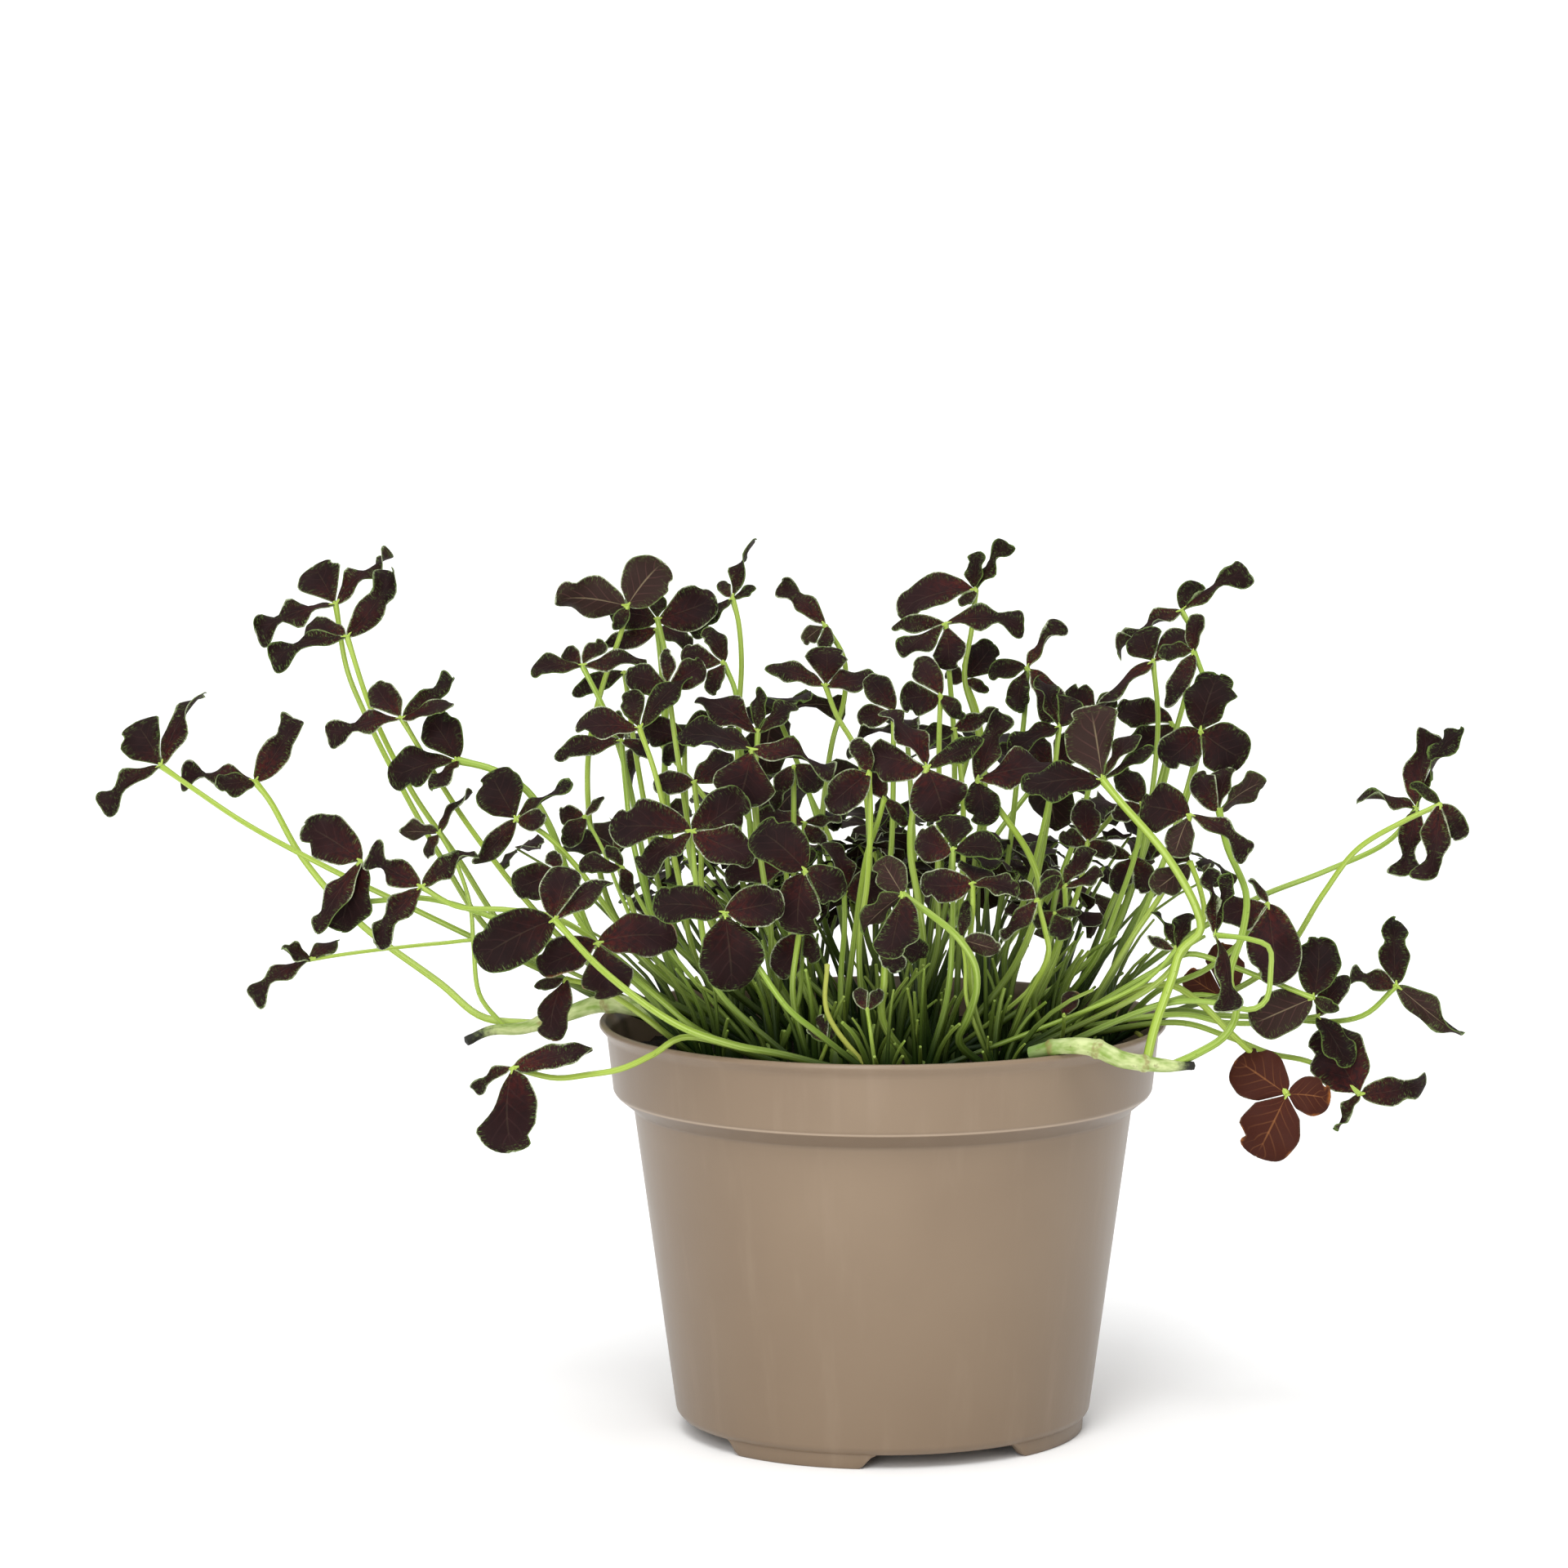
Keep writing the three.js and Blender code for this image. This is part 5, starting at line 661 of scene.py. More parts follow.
def tip_corners(blade):
    """The two points of a leaflet's solid at its tip."""
    _, up = blade_frame(blade, blade_turn(blade, 1.0))
    tip = blade_rib(blade, 1.0)
    aside = up * (SOLID_BLADE_THICKNESS / 2)
    return [tip + aside, tip - aside]


def leaf_at(leaf, step):
    """The joint and the leaflets of a leaf that stands a step further back than its list says."""
    back = leaf["back"] + step
    joint = seen_point(*leaf["at"], back)
    if "seed" in leaf:
        return joint, free_blades(joint, leaf["seed"])
    return joint, [seen_blade(joint, back, blade) for blade in leaf["blades"]]


def crown_place(name):
    """A crown's place on the soil: crowns stand on a sunflower spiral, at a radius that grows with the
    root of their number."""
    k = int(name.split("_")[1]) - 1
    radius = CROWN_SPREAD * np.sqrt((k + CROWN_START) / CROWN_COUNT)
    angle = np.radians(CROWN_TURN * k)
    return np.array([radius * np.cos(angle), radius * np.sin(angle), 0.0])


def root_of(leaf, plant):
    """Where a leaf's stalk starts: on its creeping stem, or in its crown on the side that it leans to."""
    if "on" in leaf:
        name, share = leaf["on"]
        return stolon_path(name, STEM_STATIONS)[round(share * STEM_STATIONS)]
    centre = crown_place(plant)
    aside = seen_point(*leaf["at"], leaf["back"]) - centre
    aside[2] = 0
    return centre + unit(aside) * ROOT_ASIDE + [0, 0, STUB_TOP - ROOT_DEPTH]


def stalk_points(leaf, root, back):
    """The points a stalk passes from its root to its joint. Its depth grows evenly along what is seen of
    it; a hidden leaf's stalk rises first and then leans out."""
    joint = seen_point(*leaf["at"], back)
    if "seed" in leaf:
        return root + (joint - root) * HIDDEN_RISE
    seen = np.array([leaf["at"], *leaf["stem"], seen_at(root)], float)
    reach = np.concatenate([[0], np.cumsum(np.linalg.norm(np.diff(seen, axis=0), axis=1))])
    shares = reach[1:-1] / reach[-1]
    passed = [seen_point(column, row, back + (root[1] - back) * share)
              for (column, row), share in zip(leaf["stem"], shares)]
    return np.array([root, *passed[::-1], joint])


def plant_corners(names):
    """The corners of the plants' solids in millimetres from the pot's axis, and the plant each is on."""
    corners, owners = [], []
    for k, name in enumerate(names):
        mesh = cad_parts[name].data
        places = np.empty(len(mesh.vertices) * 3)
        mesh.vertices.foreach_get("co", places)
        places = np.unique(((places.reshape(-1, 3) - POT_AXIS) / MM).round(2), axis=0)
        corners.append(places)
        owners.append(np.full(len(places), k))
    return np.vstack(corners), np.concatenate(owners)


def settle(leaf, names, corners, owners):
    """Finds the plant that carries a leaf and the depth it stands at: of all depth steps, the one at which
    the leaflets' tips, or the bare joint, fall nearest to corners of the solids."""
    found = []
    for step in DEPTH_STEPS:
        joint, blades = leaf_at(leaf, step)
        points = np.array([corner for blade in blades for corner in tip_corners(blade)] or [joint])
        apart = np.linalg.norm(points[:, None, :] - corners[None, :, :], axis=2)
        found.append((apart.min(axis=1).max(), step, names[owners[apart.argmin(axis=1)[0]]]))
    _, step, plant = min(found)
    joint, blades = leaf_at(leaf, step)
    points = stalk_points(leaf, root_of(leaf, plant), leaf["back"] + step)
    return {"plant": plant, "joint": joint, "blades": blades, "points": points,
            "wide": leaf.get("wide", STALK_WIDTH), "dry": leaf.get("dry", 0)}


# Meshes: grids of points worked out as whole arrays

def mesh_piece(name, points, quads, triangles=(), values=None, material=None):
    """A smooth mesh from points in millimetres, four- and three-sided faces, and for each named attribute
    three values a point."""
    mesh = bpy.data.meshes.new(name)
    faces = [*np.asarray(quads).tolist(), *np.asarray(triangles).tolist()]
    mesh.from_pydata((np.asarray(points) * MM + POT_AXIS).tolist(), [], faces)
    for key, value in (values or {}).items():
        attribute = mesh.attributes.new(key, "FLOAT_VECTOR", "POINT")
        attribute.data.foreach_set("vector", value.astype(np.float32).ravel())
    mesh.polygons.foreach_set("use_smooth", np.ones(len(mesh.polygons), bool))
    mesh.materials.append(material)
    mesh.update()
    piece = bpy.data.objects.new(name, mesh)
    bpy.context.scene.collection.objects.link(piece)
    return piece


def grid_quads(rows, columns, closed=False):
    """The faces of a grid of points, row after row, joined round in each row if it is closed."""
    wide = columns if closed else columns - 1
    row, column = np.meshgrid(np.arange(rows - 1), np.arange(wide), indexing="ij")
    here, beside = row * columns + column, row * columns + (column + 1) % columns
    return np.stack([here, beside, beside + columns, here + columns], axis=-1).reshape(-1, 4)


def end_fans(count, sides):
    """The triangles that close a tube of count points at both ends, each a fan from its last ring to an end
    point. The two end points follow the tube's own."""
    here = np.arange(sides)
    beside, last = (here + 1) % sides, count - sides
    return np.concatenate([np.stack([beside, here, np.full(sides, count)], axis=1),
                           np.stack([last + here, last + beside, np.full(sides, count + 1)], axis=1)])


class Shell:
    """Points, faces and values gathered from many small surfaces into one mesh."""

    def __init__(self):
        self.points, self.quads, self.triangles, self.values, self.count = [], [], [], {}, 0

    def add(self, points, quads, triangles=(), **values):
        self.points.append(points)
        self.quads.append(np.asarray(quads, int).reshape(-1, 4) + self.count)
        self.triangles.append(np.asarray(triangles, int).reshape(-1, 3) + self.count)
        for key, value in values.items():
            self.values.setdefault(key, []).append(value)
        self.count += len(points)

    def piece(self, name, material):
        values = {key: np.concatenate(value) for key, value in self.values.items()}
        return mesh_piece(name, np.concatenate(self.points), np.concatenate(self.quads),
                          np.concatenate(self.triangles), values, material)


def tube(path, radii, sides, tone=0.5):
    """A tube along a path: at each station a ring across the path's direction, whose radius is given.
    Both ends are closed by a point. Values: share of length, a tone, and the share of the way round."""
    along = unit(np.gradient(path, axis=0))
    first = unit(np.cross(along, RING_START))
    second = np.cross(along, first)
    angle = 2 * np.pi * np.arange(sides) / sides
    ring = first[:, None] * np.cos(angle)[:, None] + second[:, None] * np.sin(angle)[:, None]
    radii = np.broadcast_to(np.asarray(radii, float).reshape(-1, 1), (len(path), sides))
    points = (path[:, None] + ring * radii[..., None]).reshape(-1, 3)
    ends = np.array([path[0] - along[0] * radii[0, 0] * TUBE_END,
                     path[-1] + along[-1] * radii[-1, 0] * TUBE_END])
    share = np.append(np.repeat(np.linspace(0, 1, len(path)), sides), [0, 1])
    around = np.append(np.tile(np.arange(sides) / sides, len(path)), [0, 0])
    values = np.stack([share, np.full(len(share), tone), around], axis=1)
    return (np.vstack([points, ends]), grid_quads(len(path), sides, closed=True),
            end_fans(len(points), sides), values)


# Leaflets

def edge_shapes(draw, waisted):
    """The depth, place, beats and phase of the bite and waves on each of a leaflet's two edges. One edge,
    drawn at random, has the deep bite."""
    bitten = draw.integers(2)
    depths = [draw.uniform(*(DEEP_BITE if k == bitten else SHALLOW_BITE)) for k in range(2)]
    return [(depth * (WAISTED_BITE if waisted else 1), draw.uniform(*BITE_PLACE), draw.uniform(*EDGE_BEATS),
             draw.uniform(0, FULL_PHASE)) for depth in depths]


def edge_reach(blade, others, t, rib, across, shapes):
    """How far each of a leaflet's two edges is from its rib: half the outline's width with a shallow wave
    and a bite near the tip, and no further than the plane midway to a neighbour's rib."""
    half = blade["width"] / 2 * outline_width(OUTLINES[blade["kind"]], t)
    reach = np.empty((len(t), 2))
    for k, side in enumerate((-1, 1)):
        depth, place, beats, phase = shapes[k]
        bite = 1 - depth * np.exp(-((t - place) / BITE_REACH) ** 2)
        wave = 1 + EDGE_WAVE * np.sin(beats * t + phase)
        edge = half * bite * wave
        share = np.ones(len(t))
        for other in others:
            apart = unit(blade["axis"] - other)
            inner = (rib - blade["joint"]) @ apart
            outer = inner + side * edge * (across @ apart)
            allowed = (inner - BLADE_GAP) / np.where(outer < BLADE_GAP, inner - outer, 1.0)
            share = np.minimum(share, np.where(outer < BLADE_GAP, allowed, 1.0))
        reach[:, k] = edge * np.clip(share, LEAST_SHARE, 1)
    return reach


def blade_middle(blade, others, draw, t, s):
    """A leaflet's middle surface, its upward ways and how far its edges are from the rib. At t along the rib
    and s from -1 to 1 across it, a point lies on the rib, plus across * s * reach, plus up * (fold * |s| *
    reach + ripple * s^2 + curl * t^3), where across and up turn about the rib by the twist. The ripple is a
    sine of t of its own on each side that grows from the joint, and |s| is rounded off at the rib."""
    length, waisted = blade["length"], OUTLINES[blade["kind"]]["waist"] > 0
    left = s[None, :] < 0
    shapes = edge_shapes(draw, waisted)
    extra = np.radians(draw.uniform(*(WAISTED_TIP_TWIST if waisted else TIP_TWIST))) * blade["sense"]
    turn = blade_turn(blade, t) + extra * smooth_step(t, *TIP_TWIST_SPAN)
    across, up = blade_frame(blade, turn[:, None])
    bow = draw.uniform(*BOW) * length
    rib = blade_rib(blade, t[:, None]) + blade["across"] * (bow * 4 * t * (1 - t))[:, None]
    reach = edge_reach(blade, others, t, rib, across, shapes)
    wide = np.where(left, reach[:, :1], reach[:, 1:])
    fold, curl = draw.uniform(*FOLD), draw.uniform(*CURL) * length
    swing = draw.uniform(*SWING) * length * (WAISTED_SWING if waisted else 1)
    phase, beats = draw.uniform(0, FULL_PHASE, 2), draw.uniform(*SWING_BEATS, 2)
    waves = np.sin(beats * t[:, None] + phase)
    ripple = swing * s[None, :] ** 2 * np.where(left, waves[:, :1], waves[:, 1:])
    ripple = ripple * smooth_step(t, *SWING_SPAN)[:, None]
    rounded_side = np.sqrt(s[None, :] ** 2 + FOLD_ROUND ** 2) - FOLD_ROUND
    lift = fold * rounded_side * wide + ripple + (curl * t ** 3)[:, None]
    middle = rib[:, None] + across[:, None] * (s[None, :] * wide)[..., None] + up[:, None] * lift[..., None]
    return middle, across, up, wide


def blade_shell(blade, others, draw, dry=0.0):
    """A leaflet as a thin closed shell: a grid half its thickness over its middle surface, one as far under
    it, and a wall round the border. Values: place holds t, s and the distance to the margin; finish holds a
    tone, 1 on the underside, and how dry it is."""
    steps, cells = blade["grid"]
    t = 0.5 - 0.5 * np.cos(np.pi * np.linspace(*BLADE_ENDS, steps + 1))
    s = np.sin(np.pi / 2 * np.linspace(-1, 1, cells + 1))
    middle, across, up, wide = blade_middle(blade, others, draw, t, s)
    normal = unit(np.cross(np.gradient(middle, axis=0), np.gradient(middle, axis=1)))
    normal *= np.sign((normal * up[:, None]).sum(axis=2))[..., None]
    rim = 1 - BLADE_RIM * np.abs(s[None, :, None]) ** BLADE_RIM_POWER
    upper = middle + normal * BLADE_THICKNESS / 2 * rim
    lower = middle - normal * BLADE_THICKNESS / 2 * rim
    rows, columns = len(t), len(s)
    count = rows * columns
    top = grid_quads(rows, columns)
    turned_down = np.cross(blade["axis"], across[0]) @ up[0] > 0
    top = top[:, ::-1] if turned_down else top
    border = np.concatenate([np.arange(columns), columns * np.arange(1, rows) + columns - 1,
                             count - 2 - np.arange(columns - 1), columns * np.arange(rows - 2, 0, -1)])
    after = np.roll(border, -1)
    wall = np.stack([border, after, after + count, border + count], axis=1)
    wall = wall if turned_down else wall[:, ::-1]
    quads = np.concatenate([top, top[:, ::-1] + count, wall])
    to_tip = ((1 - t) * blade["length"] * TIP_MARGIN)[:, None]
    margin = np.minimum((1 - np.abs(s[None, :])) * wide, to_tip)
    place = np.stack(np.broadcast_arrays(t[:, None], s[None, :], margin), axis=-1).reshape(-1, 3)
    tone = np.full(count, draw.uniform(0, 1))
    finish = [np.stack([tone, np.full(count, side), np.full(count, dry)], axis=1) for side in (0.0, 1.0)]
    return (np.vstack([upper.reshape(-1, 3), lower.reshape(-1, 3)]), quads,
            {"place": np.vstack([place, place]), "finish": np.vstack(finish)})


# Pot and soil

def rounded(profile, radii, steps=ARC_STEPS):
    """A profile of points with each inner corner replaced by an arc: from a distance before the corner to
    the same after it, points (1 - u)^2 start + 2 u (1 - u) corner + u^2 end."""
    profile = np.asarray(profile, float)
    before, corner, after = profile[:-2], profile[1:-1], profile[2:]
    back, ahead = before - corner, after - corner
    reach_back = np.linalg.norm(back, axis=1, keepdims=True)
    reach_ahead = np.linalg.norm(ahead, axis=1, keepdims=True)
    just_under_half = 0.48
    cut = np.minimum(np.asarray(radii, float)[:, None], just_under_half * np.minimum(reach_back, reach_ahead))
    start, end = corner + back / reach_back * cut, corner + ahead / reach_ahead * cut
    u = np.linspace(0, 1, steps)[None, :, None]
    arcs = (1 - u) ** 2 * start[:, None] + 2 * u * (1 - u) * corner[:, None] + u ** 2 * end[:, None]
    return np.vstack([profile[:1], arcs.reshape(-1, 2), profile[-1:]])


def revolved(profile, sides):
    """A profile of radius and height turned round the pot's axis, from a point on the axis below to one
    above. Its faces point to the right of the profile's way."""
    profile = np.asarray(profile, float)
    inner = profile[1:-1]
    angle = 2 * np.pi * np.arange(sides) / sides
    points = np.stack([inner[:, :1] * np.cos(angle), inner[:, :1] * np.sin(angle),
                       np.repeat(inner[:, 1:], sides, axis=1)], axis=-1).reshape(-1, 3)
    poles = np.array([[0, 0, profile[0, 1]], [0, 0, profile[-1, 1]]])
    return (np.vstack([points, poles]), grid_quads(len(inner), sides, closed=True),
            end_fans(len(points), sides))


def pot_profile():
    """The pot's outside from the middle of its underside up to the lip, then its inside down again: at each
    corner its radius, its height and how far its rounding reaches."""
    slope = (BODY_TOP_RADIUS - BODY_BOTTOM_RADIUS) / (SHELF - FOOT_HEIGHT)
    corners = [
        (0, FOOT_HEIGHT, 0),
        (BODY_BOTTOM_RADIUS - BASE_EDGE, FOOT_HEIGHT, 0.4),
        (BODY_BOTTOM_RADIUS, FOOT_HEIGHT + BASE_EDGE, 0.8),
        (BODY_TOP_RADIUS, SHELF, 0.5),
        (BAND_BOTTOM_RADIUS - BAND_EDGE, BAND_BOTTOM, 0.25),
        (BAND_BOTTOM_RADIUS, BAND_BOTTOM + BAND_EDGE_RISE, 0.3),
        (BAND_TOP_RADIUS, LIP_BOTTOM - LIP_FLARE, 0.7),
        (LIP_RADIUS - LIP_EDGE, LIP_BOTTOM - 0.1, 0.5),
        (LIP_RADIUS, LIP_BOTTOM + LIP_EDGE, 0.4),
        (LIP_RADIUS - 0.3, POT_HEIGHT, 0.35),
        (LIP_RADIUS - LIP_WIDTH, POT_HEIGHT, 0.4),
        (BAND_TOP_RADIUS - WALL, LIP_BOTTOM - LIP_FLARE / 2, 0.8),
        (BAND_BOTTOM_RADIUS - WALL, BAND_BOTTOM + INNER_SHELF_RISE, 0.6),
        (BODY_TOP_RADIUS - WALL, SHELF + INNER_SHELF_RISE, 0.5),
        (BODY_BOTTOM_RADIUS - WALL + slope * FLOOR_THICKNESS, FLOOR_TOP, 0.8),
        (0, FLOOR_TOP, 0),
    ]
    profile = np.array(corners)[:, :2]
    return rounded(profile, [reach for _, _, reach in corners[1:-1]])


def foot_shell(middle):
    """A foot: a bar bent along an arc of the base, whose ends ramp up into the pot. Its section has six
    corners, and its lower side is at the foot's height times the ramp's smooth step."""
    turn = np.linspace(-1, 1, FOOT_STATIONS) * FOOT_ARC / 2
    ramp = smooth_step(np.abs(turn), FOOT_ARC / 2 - FOOT_RAMP, FOOT_ARC / 2)
    low = (FOOT_HEIGHT - FOOT_END) * ramp
    top = np.full(FOOT_STATIONS, FOOT_HEIGHT + FOOT_ROOT)
    inner, outer = FOOT_OUTER_RADIUS - FOOT_WIDTH, FOOT_OUTER_RADIUS
    radius = np.array([inner, inner, outer, outer, outer - FOOT_BEVEL, inner + FOOT_BEVEL])
    height = np.stack([low + FOOT_BEVEL, top, top, low + FOOT_BEVEL, low, low], axis=1)
    angle = np.radians(middle + turn)[:, None]
    rings = np.stack([radius * np.sin(angle), -radius * np.cos(angle), height], axis=-1)
    points, sides = rings.reshape(-1, 3), len(radius)
    ends = rings[[0, -1]].mean(axis=1)
    return (np.vstack([points, ends]), grid_quads(FOOT_STATIONS, sides, closed=True),
            end_fans(len(points), sides))


def cut_drain_holes(pot):
    """Cuts the round drain holes through the pot's floor."""
    holes = Shell()
    low, high = FOOT_HEIGHT - DRAIN_PAST, FLOOR_TOP + DRAIN_PAST
    for k in range(DRAIN_COUNT):
        turn = np.radians(FIRST_FOOT + 360 / DRAIN_COUNT * k)
        x, y = DRAIN_CIRCLE * np.sin(turn), -DRAIN_CIRCLE * np.cos(turn)
        path = np.array([[x, y, low], [x, y, (low + high) / 2], [x, y, high]])
        points, quads, fans, _ = tube(path, DRAIN_RADIUS, DRAIN_SIDES)
        holes.add(points, quads, fans)
    cutter = holes.piece("drain_holes", None)
    cut = pot.modifiers.new("drain", "BOOLEAN")
    cut.object = cutter
    cut.operation = "DIFFERENCE"
    cut.solver = "EXACT"
    finished = bpy.data.meshes.new_from_object(pot.evaluated_get(bpy.context.evaluated_depsgraph_get()))
    pot.modifiers.clear()
    pot.data = finished
    bpy.data.objects.remove(cutter)


def soil_height(x, y):
    """Lumps of the soil's top: products and sums of long sine waves."""
    lump = np.sin(0.31 * x + 0.9) * np.cos(0.27 * y - 0.4) + 0.5 * np.sin(0.19 * (x + y))
    return SOIL_TOP + SOIL_LUMP * (lump - 0.6)


def soil_surface():
    """The soil: a plain bed that keeps a gap to the pot, with lumps and crumbs on its top."""
    inset = WALL + SOIL_GAP
    edge = (BAND_BOTTOM_RADIUS + BAND_TOP_RADIUS) / 2 - inset - SOIL_GAP / 2
    radius = np.linspace(0, 1, SOIL_RINGS + 1)[1:] ** SOIL_SPREAD * edge
    low_rings = np.array([[BODY_BOTTOM_RADIUS - inset + SOIL_FOOT, FLOOR_TOP + SOIL_GAP],
                          [BODY_TOP_RADIUS - inset, SHELF + INNER_SHELF_RISE + SOIL_GAP],
                          [BAND_BOTTOM_RADIUS - inset, BAND_BOTTOM + INNER_SHELF_RISE + 2 * SOIL_GAP]])
    top_rings = np.stack([radius[::-1], np.full(SOIL_RINGS, SOIL_TOP)], axis=1)
    rings = np.vstack([[[0, low_rings[0, 1]]], low_rings, top_rings, [[0, SOIL_TOP]]])
    points, quads, fans = revolved(rings, SOIL_SIDES)
    crumbs = np.random.default_rng(CRUMB_SEED).normal(0, CRUMB_SIZE, len(points))
    top = points[:, 2] > SOIL_TOP - 0.01
    points[top, 2] = soil_height(points[top, 0], points[top, 1]) + crumbs[top]
    return points, quads, fans


# Finishes: materials whose patterns are worked out from a piece's own attributes or its place in space

def linear(code):
    """A colour as linear light from its six-digit screen code."""
    screen = np.array([int(code[k:k + 2], 16) / 255 for k in (0, 2, 4)])
    light = np.where(screen <= 0.04045, screen / 12.92, ((screen + 0.055) / 1.055) ** 2.4)
    return (*light.tolist(), 1.0)


# Colours of the leaflets, stalks, creeping stems, pot, soil and floor
BROWN = linear("1a0d0c")
BURGUNDY = linear("261415")
NEAR_BLACK = linear("120a0b")
RED_GLOW = linear("551a14")
UNDERSIDE = linear("32241f")
VEIN = linear("5f403c")
RIB = linear("82735a")
RUST = linear("401f15")
RUSTY_VEIN = linear("8c5b37")
GREEN_SPECK = linear("617a3e")
GREEN_FRINGE = linear("5f7538")
PALE_FRINGE = linear("b4bc9c")
WITHERED = linear("6b3a1c")
WITHERED_LIGHT = linear("a0642f")
# Deep green darkened by painted shade, for the feet of stalks down in the tuft
STALK_FOOT_GREEN_AND_SHADE = linear("172a06")
STALK_GREEN = linear("93a93c")
STALK_DEEP_GREEN = linear("668a2b")
# Pale streak colour, made bright enough to serve as a painted highlight
STALK_STREAK_AND_HIGHLIGHT = linear("c0d180")
STALK_SPECK = linear("55661c")
STALK_YELLOW = linear("9da249")
CREEPER_GREEN = linear("728d33")
CREEPER_PALE = linear("bcc58c")
CREEPER_FOOT = linear("55782c")
CREEPER_SPECK = linear("6b5c3a")
CREEPER_RING = linear("857449")
CREEPER_TIP = linear("1c1b14")
TAUPE = linear("776552")
TAUPE_LIGHT = linear("806e5a")
# Painted shade for the lower part of the pot's body
TAUPE_LOW_SHADE = linear("6b5946")
SCUFF = linear("968573")
# Painted shade for the step under the band
STEP_SHADE = linear("5a4c3f")
# Painted highlight for the band's lower edge
EDGE_HIGHLIGHT = linear("b3a08c")
SOIL_BLACK = linear("0f0c0a")
SOIL_BROWN = linear("271d15")
SOIL_FIBRE = linear("3a2a1d")
FLOOR_LIGHT = (0.97, 0.97, 0.97, 1)
FLOOR_CLOUD = (0.95, 0.95, 0.95, 1)

# Patterns: cells in a metre, and a leaflet's veins in radians along its rib and across it
FINE_GRAIN = 1500.0
VEINS_ALONG = 34.0
VEINS_ACROSS = 13.0


class Socket:
    """A value in a material. Sums, differences, products and powers of it add Math nodes."""

    def __init__(self, paint, output):
        self.paint, self.output = paint, output

    def math(self, operation, *values):
        return self.paint.add("ShaderNodeMath", {"operation": operation}, dict(enumerate(values)))

    def __add__(self, other):
        return self.math("ADD", self, other)

    def __sub__(self, other):
        return self.math("SUBTRACT", self, other)

    def __rsub__(self, other):
        return self.math("SUBTRACT", other, self)

    def __mul__(self, other):
        return self.math("MULTIPLY", self, other)

    def __pow__(self, other):
        return self.math("POWER", self, other)

    def __abs__(self):
        return self.math("ABSOLUTE", self)

    __radd__, __rmul__ = __add__, __mul__

    def sine(self):
        return self.math("SINE", self)

    def ramp(self, low, high, start=0.0, end=1.0):
        """Smoothly from start at low to end at high, and level beyond."""
        limits = {"From Min": low, "From Max": high, "To Min": start, "To Max": end}
        return self.paint.add("ShaderNodeMapRange", {"interpolation_type": "SMOOTHSTEP"},
                              {"Value": self, **limits})


class Paint:
    """The nodes of one material."""

    def __init__(self, name, **constants):
        self.material = bpy.data.materials.new(name)
        self.material.use_nodes = True
        self.tree = self.material.node_tree
        self.shader = next(node for node in self.tree.nodes if node.type == "BSDF_PRINCIPLED")
        for key, value in constants.items():
            self.shader.inputs[key.replace("_", " ")].default_value = value

    def put(self, socket, value):
        """Links a socket to a value of this material, or sets it to a plain one."""
        if isinstance(value, Socket):
            self.tree.links.new(value.output, socket)
        else:
            socket.default_value = value

    def add(self, kind, settings, inputs, output=0):
        """A node of a kind, with its settings, and values or links for its sockets."""
        node = self.tree.nodes.new(kind)
        for key, value in settings.items():
            setattr(node, key, value)
        for key, value in inputs.items():
            self.put(node.inputs[key], value)
        return Socket(self, node.outputs[output])

    def attribute(self, name):
        """A three-part attribute of the piece as three values."""
        vector = self.add("ShaderNodeAttribute", {"attribute_name": name}, {}, "Vector")
        return [self.add("ShaderNodeSeparateXYZ", {}, {0: vector}, k) for k in range(3)]

    def place(self):
        return self.add("ShaderNodeTexCoord", {}, {}, "Object")

    def joined(self, x, y, z):
        return self.add("ShaderNodeCombineXYZ", {}, {0: x, 1: y, 2: z})

    def noise(self, at, scale, detail=3.0, rough=0.55):
        return self.add("ShaderNodeTexNoise", {}, {"Vector": at, "Scale": scale, "Detail": detail,
                                                   "Roughness": rough})

    def mix(self, mask, first, second):
        """The first colour where the mask is 0, the second where it is 1."""
        return self.add("ShaderNodeMix", {"data_type": "RGBA"}, {0: mask, 6: first, 7: second}, 2)

    def bump(self, height, distance, strength=1.0):
        return self.add("ShaderNodeBump", {}, {"Height": height, "Distance": distance, "Strength": strength})

    def finish(self, **sockets):
        for key, value in sockets.items():
            self.put(self.shader.inputs[key.replace("_", " ")], value)
        return self.material


